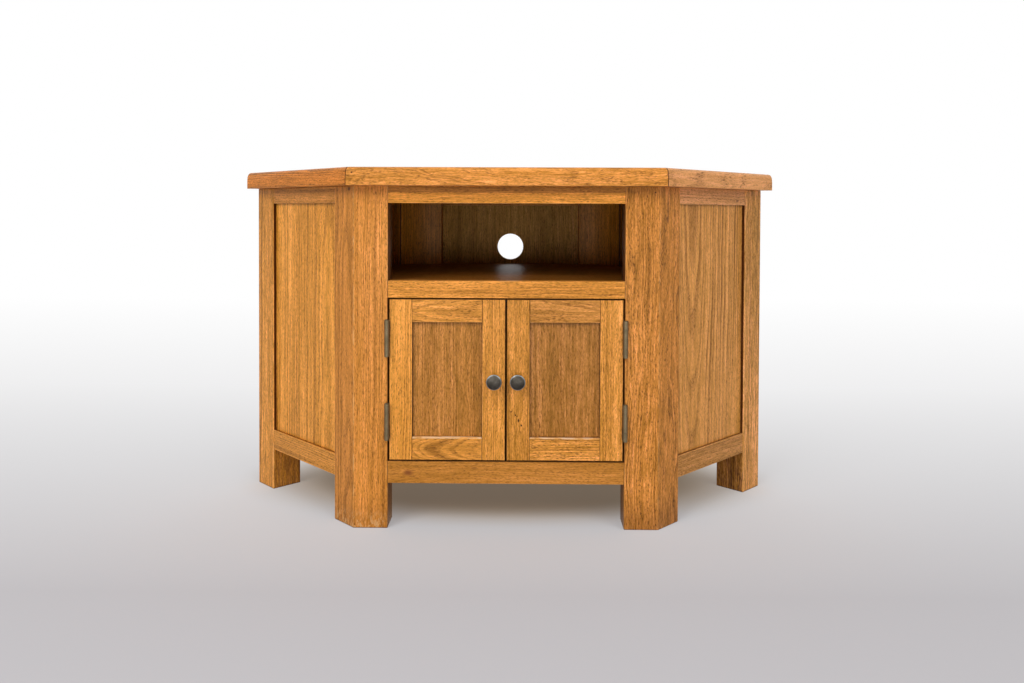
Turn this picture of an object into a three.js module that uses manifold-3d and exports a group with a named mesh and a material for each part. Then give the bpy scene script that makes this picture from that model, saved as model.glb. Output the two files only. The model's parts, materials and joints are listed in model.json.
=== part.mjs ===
// A corner television cabinet in solid oak. It stands across the corner of a room: a straight front with
// an open bay above two doors, a side facet on each hand turned back by an eighth of a turn, a rear wall
// on each hand along the room's wall, and a short back across the corner. Lengths are in millimetres,
// +Z is up and the front faces -Y. The origin is on the floor, in the middle of the cabinet's box.
import * as THREE from "three";
import { mergeVertices } from "three/addons/utils/BufferGeometryUtils.js";
import Module from "manifold-3d";

const wasm = await Module();
wasm.setup();

// Overall sizes. `sideRun` is how far a side facet reaches outwards from the front.
const cabinetHeight = 630;
const frontWidth = 532;
const sideRun = 242;
const backWidth = 460;
const facetTurn = Math.PI / 4;
const quarterTurn = Math.PI / 2;

// Heights of the openings
const legClearance = 79;
const bayHeight = 135;

// Top
const topThickness = 32;
const topOverhang = 23;
const wallOverhang = 3;
const borderWidth = 70;
const edgeRoundHeight = 16;
const edgeRoundDepth = 10;
const edgeRoundSteps = 6;

// Posts
const frontPostFace = 60;
const backPostFace = 72;
const cornerPostSide = 60;
const postThickness = 50;

// Rails, and the stub tenons that hold them in the posts
const railThickness = 22;
const railSetback = 1;
const topRailHeight = 30;
const shelfRailHeight = 30;
const bottomRailHeight = 39;
const tenonLength = 18;
const tenonThickness = 9;
const tenonShoulder = 8;

// Side, rear and back panels, held in grooves
const panelThickness = 8;
const panelRecess = 6;
const grooveDepth = 8;
const cableHoleDiameter = 60;
const cableHoleRise = 39.5;
const cableHoleSides = 32;

// Shelf and floor boards, let into housings in the posts
const boardThickness = 18;
const boardClearance = 0.5;
const housingDepth = 6;

// Doors
const doorThickness = 18;
const doorSideGap = 2.5;
const doorMeetingGap = 2.8;
const doorEndGap = 2;
const stileWidth = 40;
const doorRailHeight = 40;
const doorPanelThickness = 6;
const doorPanelRecess = 7;
const doorGrooveDepth = 7;
const doorTenonLength = 16;
const doorTenonThickness = 7;
const doorTenonShoulder = 9;

// Knobs, turned, each held by a screw from inside the door
const knobRadius = 13.5;
const knobLength = 24;
const knobBaseRadius = 8;
const knobBaseHeight = 2.5;
const knobNeckRadius = 5.5;
const knobNeckStart = 5;
const knobNeckEnd = 10;
const knobRimHeight = 16;
const knobRimEdge = 2.5;
const knobDomeSteps = 5;
const knobSides = 28;
const knobInset = 19;
const knobBoreDepth = 11;
const knobScrewRadius = 2;
const knobScrewHeadRadius = 4;
const knobScrewHeadHeight = 2;

// Butt hinges with three knuckles
const hingeLength = 63.5;
const hingeInsetShare = 0.128;
const endKnuckleLength = 15.5;
const knuckleGap = 0.3;
const barrelRadius = 4.2;
const barrelSides = 14;
const axisOutset = 1;
const leafThickness = 1.5;
const leafLetIn = 0.6;
const leafDepth = 17;
const webReach = 5;
const pinRadius = 1.6;
const pinHeadRadius = 3.1;
const pinHeadHeight = 0.9;
const leafScrewShares = [0.16, 0.5, 0.84];
const leafScrewStaggerShare = 0.14;

// The holes for countersunk wood screws
const screwHeadRadius = 3;
const screwHeadHeight = 1.2;
const screwShankRadius = 1.4;
const screwLength = 14;
const screwSides = 10;

// Magnetic catch, the block that carries it, and its strike plates
const catchBlockWidth = 60;
const catchBlockDepth = 22;
const catchBlockHeight = 18;
const catchWidth = 48;
const catchDepth = 16;
const catchHeight = 14;
const magnetWidth = 14;
const magnetHeight = 9;
const magnetLift = 1.5;
const strikeThickness = 1.2;
const strikeWidth = 16;
const strikeHeight = 13;
const strikeScrewLength = 11;

// Clearance of a glued or fitted joint, and how far a cutter runs past what it cuts
const fitGap = 0.3;
const overrun = 4;

// Sizes worked out from those above
const topUnderside = cabinetHeight - topThickness;
const topRailBottom = topUnderside - topRailHeight;
const shelfTop = topRailBottom - bayHeight;
const shelfRailBottom = shelfTop - shelfRailHeight;
const floorTop = legClearance + bottomRailHeight;
const railBack = railSetback + railThickness;
const panelFront = railSetback + panelRecess;
const panelBack = panelFront + panelThickness;
const openingHalf = frontWidth / 2 - frontPostFace;
const cornerX = frontWidth / 2 + sideRun;
const cornerY = sideRun * Math.tan(facetTurn);
const carcassDepth = cornerY + (cornerX - backWidth / 2) / Math.tan(facetTurn);
const frontmost = Math.max(topOverhang, knobLength - railSetback);
const rearmost = carcassDepth + wallOverhang;

// Materials
const oak = (color) => new THREE.MeshStandardMaterial({ color, roughness: 0.45, metalness: 0 });
const postOak = oak("#b9732f");
const railOak = oak("#bd7833");
const panelOak = oak("#a96d33");
const topOak = oak("#c07c38");
const boardOak = oak("#9a6330");
const innerOak = oak("#a87b4a");
const pewter = new THREE.MeshStandardMaterial({ color: "#4a443f", roughness: 0.42, metalness: 0.8 });
const hingeMetal = new THREE.MeshStandardMaterial({ color: "#7d7362", roughness: 0.45, metalness: 0.8 });
const steel = new THREE.MeshStandardMaterial({ color: "#8f8a80", roughness: 0.35, metalness: 0.9 });
const brownPlastic = new THREE.MeshStandardMaterial({ color: "#4b3524", roughness: 0.5, metalness: 0 });

// A closed mesh's surface as a solid that can be joined and cut.
function solidOf(geometry) {
  const bare = new THREE.BufferGeometry();
  bare.setAttribute("position", geometry.getAttribute("position").clone());
  if (geometry.index) {
    bare.setIndex(geometry.index.clone());
  }
  const merged = mergeVertices(bare);
  const vertProperties = new Float32Array(merged.getAttribute("position").array);
  const triVerts = new Uint32Array(merged.index.array);
  return new wasm.Manifold(new wasm.Mesh({ numProp: 3, vertProperties, triVerts }));
}

// A solid back as a geometry.
function geometryOf(solid) {
  const mesh = solid.getMesh();
  const geometry = new THREE.BufferGeometry();
  geometry.setAttribute("position", new THREE.BufferAttribute(new Float32Array(mesh.vertProperties), 3));
  geometry.setIndex(new THREE.BufferAttribute(new Uint32Array(mesh.triVerts), 1));
  geometry.computeVertexNormals();
  return geometry;
}

const joined = (...shapes) => geometryOf(shapes.map(solidOf).reduce((all, next) => all.add(next)));
const without = (shape, cutters) => {
  return geometryOf(cutters.map(solidOf).reduce((left, next) => left.subtract(next), solidOf(shape)));
};
const shared = (shape, other) => geometryOf(solidOf(shape).intersect(solidOf(other)));

// A box between two values on each axis, given in either order.
function slab(x, y, z) {
  const size = [x, y, z].map(([from, to]) => Math.abs(to - from));
  const middle = [x, y, z].map(([from, to]) => (from + to) / 2);
  return new THREE.BoxGeometry(...size).translate(...middle);
}

// A flat shape of corners [x, y] between two heights.
function prism(corners, bottom, top) {
  const shape = new THREE.Shape(corners.map(([x, y]) => new THREE.Vector2(x, y)));
  const flat = { depth: top - bottom, bevelEnabled: false };
  return new THREE.ExtrudeGeometry(shape, flat).translate(0, 0, bottom);
}

// A turned shape of [radius, distance] points whose axis runs along +Y, then turned to point along `to`.
function turned(profile, sides, to, at) {
  const points = profile.map(([radius, along]) => new THREE.Vector2(radius, along));
  const geometry = new THREE.LatheGeometry(points, sides);
  const turn = new THREE.Quaternion().setFromUnitVectors(new THREE.Vector3(0, 1, 0), to);
  return geometry.applyQuaternion(turn).translate(at.x, at.y, at.z);
}

function rod(radius, length, sides, to, at) {
  const profile = [
    [0, 0],
    [radius, 0],
    [radius, length],
    [0, length],
  ];
  return turned(profile, sides, to, at);
}

// The corners of a convex outline whose edges are moved in by `insets`, one for each edge.
function insetOutline(corners, insets) {
  const edges = corners.map(([x, y], i) => {
    const [nextX, nextY] = corners[(i + 1) % corners.length];
    const length = Math.hypot(nextX - x, nextY - y);
    const normal = [-(nextY - y) / length, (nextX - x) / length];
    return { normal, reach: normal[0] * x + normal[1] * y + insets[i] };
  });
  return edges.map((edge, i) => {
    const before = edges[(i + edges.length - 1) % edges.length];
    const [a, b] = before.normal;
    const [c, d] = edge.normal;
    const across = a * d - b * c;
    return [
      (before.reach * d - b * edge.reach) / across,
      (a * edge.reach - before.reach * c) / across,
    ];
  });
}

// Groups: the carcass is set back so that the origin is in the middle of the cabinet's box.
const cabinet = new THREE.Group();
const carcass = new THREE.Group();
carcass.position.y = (frontmost - rearmost) / 2;
cabinet.add(carcass);
cabinet.updateMatrixWorld(true);

// A shape drawn in one group's frame, in another group's frame.
function carried(geometry, from, to) {
  const across = to.matrixWorld.clone().invert().multiply(from.matrixWorld);
  return geometry.clone().applyMatrix4(across);
}

// A named piece whose own origin is the middle of its box.
function addPiece(group, name, material, geometry) {
  const middle = new THREE.Vector3();
  geometry.computeBoundingBox();
  geometry.boundingBox.getCenter(middle);
  const piece = new THREE.Mesh(geometry.translate(-middle.x, -middle.y, -middle.z), material);
  piece.name = name;
  piece.position.copy(middle);
  group.add(piece);
}

// The carcass outline from above, from the left front arris and on to the right
const outline = [
  [-frontWidth / 2, 0],
  [frontWidth / 2, 0],
  [cornerX, cornerY],
  [backWidth / 2, carcassDepth],
  [-backWidth / 2, carcassDepth],
  [-cornerX, cornerY],
];

// The six walls, each from one corner of the outline to the next. In a wall's frame x runs along its outer
// face, y goes in and z is up. `faces` are the widths of the post faces at its two ends.
const wallKinds = [
  { name: "front", faces: [frontPostFace, frontPostFace] },
  { name: "right_side", faces: [frontPostFace, cornerPostSide] },
  { name: "right_rear", faces: [cornerPostSide, backPostFace] },
  { name: "back", faces: [backPostFace, backPostFace] },
  { name: "left_rear", faces: [backPostFace, cornerPostSide] },
  { name: "left_side", faces: [cornerPostSide, frontPostFace] },
];
const walls = wallKinds.map(({ name, faces }, i) => {
  const [x, y] = outline[i];
  const [nextX, nextY] = outline[(i + 1) % outline.length];
  const group = new THREE.Group();
  group.position.set(x, y, 0);
  group.rotation.z = Math.atan2(nextY - y, nextX - x);
  carcass.add(group);
  group.updateWorldMatrix(true, false);
  const length = Math.hypot(nextX - x, nextY - y);
  return { name, group, length, bay: [faces[0], length - faces[1]] };
});

// Rails: each wall has one at the top and one at the bottom, and the front has one under the bay.
const railHeights = {
  top_rail: [topRailBottom, topUnderside],
  bottom_rail: [legClearance, floorTop],
};
const frontRailHeights = {
  ...railHeights,
  shelf_rail: [shelfRailBottom, shelfTop],
};

function railShape(wall, [bottom, top]) {
  const [start, end] = wall.bay;
  const tenonFront = railSetback + (railThickness - tenonThickness) / 2;
  const body = slab([start + fitGap, end - fitGap], [railSetback, railBack], [bottom, top]);
  const tenon = slab(
    [start - tenonLength, end + tenonLength],
    [tenonFront, tenonFront + tenonThickness],
    [bottom + tenonShoulder, top - tenonShoulder],
  );
  return joined(body, tenon);
}

// What the tenons of a rail take out of the posts.
function mortiseShape(wall, [bottom, top]) {
  const [start, end] = wall.bay;
  const tenonFront = railSetback + (railThickness - tenonThickness) / 2;
  return slab(
    [start - tenonLength - fitGap, end + tenonLength + fitGap],
    [tenonFront - fitGap, tenonFront + tenonThickness + fitGap],
    [bottom + tenonShoulder - fitGap, top - tenonShoulder + fitGap],
  );
}

// A panel's slab, or, with a clearance, the groove that holds it.
function panelShape(wall, clearance) {
  const [start, end] = wall.bay;
  const reach = grooveDepth - fitGap + clearance;
  return slab(
    [start - reach, end + reach],
    [panelFront - clearance, panelBack + clearance],
    [floorTop - reach, topRailBottom + reach],
  );
}

for (const wall of walls) {
  const isFront = wall.name === "front";
  wall.rails = isFront ? frontRailHeights : railHeights;
  const groove = isFront ? [] : [panelShape(wall, fitGap)];
  for (const [rail, heights] of Object.entries(wall.rails)) {
    addPiece(wall.group, `${wall.name}_${rail}`, railOak, without(railShape(wall, heights), groove));
  }
  wall.cutters = [...Object.values(wall.rails).map((heights) => mortiseShape(wall, heights)), ...groove];
}

// The cable hole goes through the back panel above the shelf.
function cableHole(wall) {
  const middle = new THREE.Vector3(wall.length / 2, panelFront - overrun, shelfTop + cableHoleRise);
  const inwards = new THREE.Vector3(0, 1, 0);
  return rod(cableHoleDiameter / 2, panelThickness + 2 * overrun, cableHoleSides, inwards, middle);
}

for (const wall of walls.filter(({ name }) => name !== "front")) {
  const holes = wall.name === "back" ? [cableHole(wall)] : [];
  addPiece(wall.group, `${wall.name}_panel`, panelOak, without(panelShape(wall, 0), holes));
}

// A post's section. Its arris is at the origin, the wall before it comes in along +x, and the wall after it
// goes on, turned by `turn`. `grown` adds a clearance on the inside.
function postSection({ face, thickness, turn }, grown) {
  const width = face + grown;
  const deep = thickness + grown;
  const along = [Math.cos(turn), Math.sin(turn)];
  const end = [width * along[0], width * along[1]];
  const innerEnd = [end[0] - deep * along[1], end[1] + deep * along[0]];
  const innerCorner = turn < quarterTurn ? [[-deep * Math.tan(turn / 2), deep]] : [];
  const innerStart = turn < quarterTurn ? [[-width, deep]] : [];
  return [[-width, 0], [0, 0], end, innerEnd, ...innerCorner, ...innerStart];
}

// The six posts. Those at the outermost corners are square, and the others bend with the facets.
const bentFront = { face: frontPostFace, thickness: postThickness, turn: facetTurn };
const bentBack = { face: backPostFace, thickness: postThickness, turn: quarterTurn - facetTurn };
const square = { face: cornerPostSide, thickness: cornerPostSide, turn: quarterTurn };
const postKinds = [
  { name: "front_left_post", ...bentFront },
  { name: "front_right_post", ...bentFront },
  { name: "right_corner_post", ...square },
  { name: "back_right_post", ...bentBack },
  { name: "back_left_post", ...bentBack },
  { name: "left_corner_post", ...square },
];
const posts = postKinds.map((kind, i) => {
  const before = walls[(i + walls.length - 1) % walls.length];
  const group = new THREE.Group();
  group.position.set(...outline[i], 0);
  group.rotation.z = before.group.rotation.z;
  carcass.add(group);
  group.updateWorldMatrix(true, false);
  return { ...kind, group, walls: [before, walls[i]], cutters: [] };
});

// Hinges. Each pair turns about an upright axis in front of the joint between a front post and a door. In
// a hinge's frame the axis is at x = 0, y = 0, and the door lies towards `inwards` along x.
const sides = [
  { hand: "left", side: -1, post: posts[0] },
  { hand: "right", side: 1, post: posts[1] },
];
const axisX = openingHalf + axisOutset;
const axisY = -(barrelRadius + fitGap);
const doorBottom = floorTop + doorEndGap;
const doorTop = shelfRailBottom - doorEndGap;
const hingeInset = hingeInsetShare * (doorTop - doorBottom);
const hingeLevels = {
  upper: doorTop - hingeInset - hingeLength,
  lower: doorBottom + hingeInset,
};
const up = new THREE.Vector3(0, 0, 1);
const plateX = {
  frame: [axisOutset - leafLetIn, axisOutset - leafLetIn + leafThickness],
  door: [
    axisOutset + doorSideGap + leafLetIn - leafThickness,
    axisOutset + doorSideGap + leafLetIn,
  ],
};
const knuckles = {
  frame: [
    [0, endKnuckleLength - knuckleGap / 2],
    [hingeLength - endKnuckleLength + knuckleGap / 2, hingeLength],
  ],
  door: [[endKnuckleLength + knuckleGap / 2, hingeLength - endKnuckleLength - knuckleGap / 2]],
};

// The hole for a countersunk screw whose head is flush at `at` and which points along `to`
function screwHole(at, to, length) {
  const profile = [
    [0, -fitGap],
    [screwHeadRadius + fitGap, -fitGap],
    [screwHeadRadius + fitGap, 0],
    [screwShankRadius + fitGap, screwHeadHeight],
    [screwShankRadius + fitGap, length],
    [0, length],
  ];
  return turned(profile, screwSides, to, at);
}

// The holes of one leaf, staggered across it. The frame's go into the post and the door's into its stile.
function leafHoles(kind, inwards, level) {
  const face = kind === "frame" ? plateX.frame[1] : plateX.door[0];
  const to = new THREE.Vector3(kind === "frame" ? -inwards : inwards, 0, 0);
  return leafScrewShares.map((share, i) => {
    const stagger = (i % 2 === 0 ? 1 : -1) * leafScrewStaggerShare * leafDepth;
    const at = new THREE.Vector3(
      inwards * face,
      webReach + leafDepth / 2 + stagger,
      level + share * hingeLength,
    );
    return screwHole(at, to, screwLength);
  });
}

function leafShape(kind, inwards, level) {
  const across = plateX[kind].map((x) => inwards * x);
  const plate = slab(across, [webReach, webReach + leafDepth], [level, level + hingeLength]);
  const rolls = knuckles[kind].flatMap(([bottom, top]) => [
    rod(barrelRadius, top - bottom, barrelSides, up, new THREE.Vector3(0, 0, level + bottom)),
    slab(across, [0, webReach + fitGap], [level + bottom, level + top]),
  ]);
  const bottomOfBore = new THREE.Vector3(0, 0, level - overrun);
  const bore = rod(pinRadius + fitGap, hingeLength + 2 * overrun, barrelSides, up, bottomOfBore);
  return without(joined(plate, ...rolls), [bore, ...leafHoles(kind, inwards, level)]);
}

// The shallow recess for a leaf in the wood that it is screwed to.
function leafRecess(kind, inwards, level) {
  const frameSpan = [plateX.frame[0] - fitGap, plateX.frame[1]];
  const doorSpan = [plateX.door[0], plateX.door[1] + fitGap];
  return slab(
    (kind === "frame" ? frameSpan : doorSpan).map((x) => inwards * x),
    [-overrun, webReach + leafDepth + fitGap],
    [level - fitGap, level + hingeLength + fitGap],
  );
}

// A pin with a low head at each end.
function pinShape(level) {
  const profile = [
    [0, -pinHeadHeight],
    [pinHeadRadius, -pinHeadHeight],
    [pinHeadRadius, 0],
    [pinRadius, 0],
    [pinRadius, hingeLength],
    [pinHeadRadius, hingeLength],
    [pinHeadRadius, hingeLength + pinHeadHeight],
    [0, hingeLength + pinHeadHeight],
  ];
  return turned(profile, barrelSides, up, new THREE.Vector3(0, 0, level));
}

for (const { hand, side, post } of sides) {
  const jamb = new THREE.Group();
  jamb.position.set(side * axisX, axisY, 0);
  carcass.add(jamb);
  jamb.updateWorldMatrix(true, false);
  for (const [name, level] of Object.entries(hingeLevels)) {
    addPiece(jamb, `${hand}_${name}_hinge_frame_leaf`, hingeMetal, leafShape("frame", -side, level));
    addPiece(jamb, `${hand}_${name}_hinge_pin`, hingeMetal, pinShape(level));
    const holes = [leafRecess("frame", -side, level), ...leafHoles("frame", -side, level)];
    post.cutters.push(...holes.map((hole) => carried(hole, jamb, post.group)));
  }
}

// Shelf and floor: boards inside the walls whose corners are let into the posts. `grown` makes the housing.
const behindRail = railBack + fitGap;
const behindPanel = panelBack + boardClearance;
const boards = [
  {
    name: "shelf_board",
    top: shelfTop,
    insets: walls.map(({ name }) => (name === "front" ? behindRail : behindPanel)),
  },
  { name: "floor_board", top: floorTop, insets: walls.map(() => behindRail) },
];

function boardShape({ top, insets }, grown) {
  const bottom = top - boardThickness;
  const plan = insetOutline(outline, insets.map((inset) => inset - grown));
  const cores = posts.map((post) => {
    const core = prism(postSection(post, -housingDepth - grown), bottom - overrun, top + overrun);
    return carried(core, post.group, carcass);
  });
  return without(prism(plan, bottom - grown, top + grown), cores);
}
for (const board of boards) {
  addPiece(carcass, board.name, boardOak, boardShape(board, 0));
}

// Posts, with the mortises, grooves, housings, hinge recesses and screw holes cut out of them
const housings = boards.map((board) => boardShape(board, fitGap));
for (const post of posts) {
  const joints = post.walls.flatMap((wall) => wall.cutters.map((c) => carried(c, wall.group, post.group)));
  const slots = housings.map((housing) => carried(housing, carcass, post.group));
  const shape = prism(postSection(post, 0), 0, topUnderside);
  addPiece(post.group, post.name, postOak, without(shape, [...joints, ...slots, ...post.cutters]));
}

// Top: a middle panel with a mitred border along the front and the side facets
const overhangs = walls.map(({ name }) => {
  return name === "front" || name.endsWith("side") ? -topOverhang : -wallOverhang;
});
const borderInsets = walls.map((wall, i) => {
  return wall.name === "front" || wall.name.endsWith("side") ? borderWidth - topOverhang : overhangs[i];
});
const topOutline = insetOutline(outline, overhangs);
const borderLine = insetOutline(outline, borderInsets);

// The border's section, outer edge first: upright below and rounded above.
function borderSection() {
  const round = [];
  for (let step = 0; step <= edgeRoundSteps; step += 1) {
    const angle = (quarterTurn * step) / edgeRoundSteps;
    round.push([
      edgeRoundDepth * (1 - Math.cos(angle)),
      cabinetHeight - edgeRoundHeight * (1 - Math.sin(angle)),
    ]);
  }
  const inner = borderWidth + overrun;
  return [[0, topUnderside], [inner, topUnderside], [inner, cabinetHeight], ...round.reverse()];
}

// One border, extruded along its wall and cut to its mitres.
function borderShape(i) {
  const next = (i + 1) % walls.length;
  const [start, end] = [topOutline[i], topOutline[next]];
  const length = Math.hypot(end[0] - start[0], end[1] - start[1]);
  const shape = new THREE.Shape(borderSection().map(([y, z]) => new THREE.Vector2(y, z)));
  const straight = { depth: length + 2 * overrun, bevelEnabled: false };
  const bar = new THREE.ExtrudeGeometry(shape, straight);
  const basis = new THREE.Matrix4().makeBasis(
    new THREE.Vector3(0, 1, 0),
    new THREE.Vector3(0, 0, 1),
    new THREE.Vector3(1, 0, 0),
  );
  bar.applyMatrix4(basis).translate(-overrun, 0, 0);
  bar.rotateZ(walls[i].group.rotation.z).translate(start[0], start[1], 0);
  const plan = [start, end, borderLine[next], borderLine[i]];
  const rearFirst = walls[i].name === "left_side" ? 0 : fitGap / 2;
  const rearLast = walls[i].name === "right_side" ? 0 : fitGap / 2;
  const cut = insetOutline(plan, [-overrun, rearLast, fitGap / 2, rearFirst]);
  return shared(bar, prism(cut, topUnderside - overrun, cabinetHeight + overrun));
}
walls.forEach((wall, i) => {
  if (wall.name === "front" || wall.name.endsWith("side")) {
    addPiece(carcass, `top_${wall.name.replace("_side", "")}_border`, topOak, borderShape(i));
  }
});
const middleInsets = borderInsets.map((inset) => (inset > 0 ? inset + fitGap / 2 : inset));
const middleOutline = insetOutline(outline, middleInsets);
addPiece(carcass, "top_panel", topOak, prism(middleOutline, topUnderside, cabinetHeight));

// Doors. A door's group stands on its hinge axis, and `inwards` is the way along x to the other door.
const doorFront = railSetback - axisY;
const doorBack = doorFront + doorThickness;
const hingeEdge = axisOutset + doorSideGap;
const meetingEdge = axisX - doorMeetingGap / 2;
const hingeStile = [hingeEdge, hingeEdge + stileWidth];
const meetingStile = [meetingEdge - stileWidth, meetingEdge];
const doorPanelFront = doorFront + doorPanelRecess;
const knobX = meetingEdge - knobInset;
const knobZ = (doorTop + doorBottom) / 2;
const blockTop = shelfTop - boardThickness;
const catchTop = blockTop - catchBlockHeight;
const strikeZ = catchTop - catchHeight / 2;
const strikeX = axisX - catchWidth / 4;
const outwards = new THREE.Vector3(0, -1, 0);

function doorTenons(inwards, [bottom, top], grown) {
  const front = doorFront + (doorThickness - doorTenonThickness) / 2 - grown;
  return slab(
    [hingeStile[1] - doorTenonLength - grown, meetingStile[0] + doorTenonLength + grown].map(
      (x) => inwards * x,
    ),
    [front, front + doorTenonThickness + 2 * grown],
    [bottom + doorTenonShoulder - grown, top - doorTenonShoulder + grown],
  );
}

function doorPanelShape(inwards, grown) {
  const reach = doorGrooveDepth - fitGap + grown;
  return slab(
    [hingeStile[1] - reach, meetingStile[0] + reach].map((x) => inwards * x),
    [doorPanelFront - grown, doorPanelFront + doorPanelThickness + grown],
    [doorBottom + doorRailHeight - reach, doorTop - doorRailHeight + reach],
  );
}

// The knob: a base, a neck and a flat rim under a low dome, with a blind bore for its screw.
function knobShape(inwards) {
  const bore = knobScrewRadius + fitGap;
  const dome = [];
  for (let step = 0; step < knobDomeSteps; step += 1) {
    const angle = (quarterTurn * step) / knobDomeSteps;
    const rise = knobLength - knobRimHeight - knobRimEdge;
    dome.push([knobRadius * Math.cos(angle), knobRimHeight + knobRimEdge + rise * Math.sin(angle)]);
  }
  const profile = [
    [bore, 0],
    [knobBaseRadius, 0],
    [knobBaseRadius, knobBaseHeight],
    [knobNeckRadius, knobNeckStart],
    [knobNeckRadius, knobNeckEnd],
    [knobRadius, knobRimHeight],
    ...dome,
    [0, knobLength],
    [0, knobBoreDepth],
    [bore, knobBoreDepth],
    [bore, 0],
  ];
  return turned(profile, knobSides, outwards, new THREE.Vector3(inwards * knobX, doorFront, knobZ));
}

// The knob's screw, with its low head on the inside of the stile.
function knobScrewShape(inwards) {
  const shank = doorThickness + knobBoreDepth - fitGap;
  const profile = [
    [0, -knobScrewHeadHeight],
    [knobScrewHeadRadius, -knobScrewHeadHeight],
    [knobScrewHeadRadius, 0],
    [knobScrewRadius, 0],
    [knobScrewRadius, shank],
    [0, shank],
  ];
  return turned(profile, screwSides, outwards, new THREE.Vector3(inwards * knobX, doorBack, knobZ));
}

function knobScrewHole(inwards) {
  const at = new THREE.Vector3(inwards * knobX, doorBack + overrun, knobZ);
  return rod(knobScrewRadius + fitGap, doorThickness + 2 * overrun, screwSides, outwards, at);
}

function strikeShape(inwards) {
  const across = [strikeX - strikeWidth / 2, strikeX + strikeWidth / 2].map((x) => inwards * x);
  const high = [strikeZ - strikeHeight / 2, strikeZ + strikeHeight / 2];
  return slab(across, [doorBack, doorBack + strikeThickness], high);
}

function strikeHole(inwards) {
  const at = new THREE.Vector3(inwards * strikeX, doorBack + strikeThickness, strikeZ);
  return screwHole(at, outwards, strikeScrewLength);
}

for (const { hand, side } of sides) {
  const inwards = -side;
  const door = new THREE.Group();
  door.position.set(side * axisX, axisY, 0);
  carcass.add(door);
  const thick = [doorFront, doorBack];
  const rails = {
    top_rail: [doorTop - doorRailHeight, doorTop],
    bottom_rail: [doorBottom, doorBottom + doorRailHeight],
  };
  const groove = doorPanelShape(inwards, fitGap);
  const mortises = Object.values(rails).map((heights) => doorTenons(inwards, heights, fitGap));
  for (const [name, heights] of Object.entries(rails)) {
    const between = [hingeStile[1] + fitGap, meetingStile[0] - fitGap].map((x) => inwards * x);
    const rail = joined(slab(between, thick, heights), doorTenons(inwards, heights, 0));
    addPiece(door, `${hand}_door_${name}`, railOak, without(rail, [groove]));
  }
  const levels = Object.values(hingeLevels);
  const hingeCuts = levels.flatMap((level) => [
    leafRecess("door", inwards, level),
    ...leafHoles("door", inwards, level),
  ]);
  const stile = (span) => slab(span.map((x) => inwards * x), thick, [doorBottom, doorTop]);
  const hingeStileShape = without(stile(hingeStile), [groove, ...mortises, ...hingeCuts]);
  addPiece(door, `${hand}_door_hinge_stile`, railOak, hingeStileShape);
  const meetingCuts = [groove, ...mortises, knobScrewHole(inwards), strikeHole(inwards)];
  addPiece(door, `${hand}_door_meeting_stile`, railOak, without(stile(meetingStile), meetingCuts));
  addPiece(door, `${hand}_door_panel`, panelOak, doorPanelShape(inwards, 0));
  addPiece(door, `${hand}_door_knob`, pewter, knobShape(inwards));
  addPiece(door, `${hand}_knob_screw`, steel, knobScrewShape(inwards));
  for (const [name, level] of Object.entries(hingeLevels)) {
    addPiece(door, `${hand}_${name}_hinge_door_leaf`, hingeMetal, leafShape("door", inwards, level));
  }
  addPiece(door, `${hand}_strike_plate`, steel, without(strikeShape(inwards), [strikeHole(inwards)]));
}

// Magnetic catch on a block under the shelf: a body with two magnets that face the strike plates
const catchBlock = slab(
  [-catchBlockWidth / 2, catchBlockWidth / 2],
  [behindRail, behindRail + catchBlockDepth],
  [catchTop, blockTop],
);
addPiece(carcass, "catch_block", innerOak, catchBlock);
const magnetFace = railSetback + doorThickness + strikeThickness + fitGap;
const catchZ = [catchTop - catchHeight, catchTop];
const catchBody = slab(
  [-catchWidth / 2, catchWidth / 2],
  [magnetFace + magnetLift, magnetFace + magnetLift + catchDepth],
  catchZ,
);
const magnets = [-1, 1].map((side) => {
  const middle = (side * catchWidth) / 4;
  return slab(
    [middle - magnetWidth / 2, middle + magnetWidth / 2],
    [magnetFace, magnetFace + magnetLift + overrun],
    [strikeZ - magnetHeight / 2, strikeZ + magnetHeight / 2],
  );
});
addPiece(carcass, "magnetic_catch", brownPlastic, joined(catchBody, ...magnets));

export default cabinet;
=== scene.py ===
# The looks of a corner television cabinet, in satin-lacquered oak with pewter fittings, built round its
# packed CAD model. The file is laid out as a Blender add-on and run as a script. Lengths are in metres
# unless a name or a comment says millimetres. +Z is up and the cabinet's front faces -Y.
import json
import math
import random
from functools import partial

import bmesh
import bpy
from bpy.props import FloatProperty, FloatVectorProperty, IntProperty, PointerProperty
from mathutils import Matrix, Vector

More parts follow.
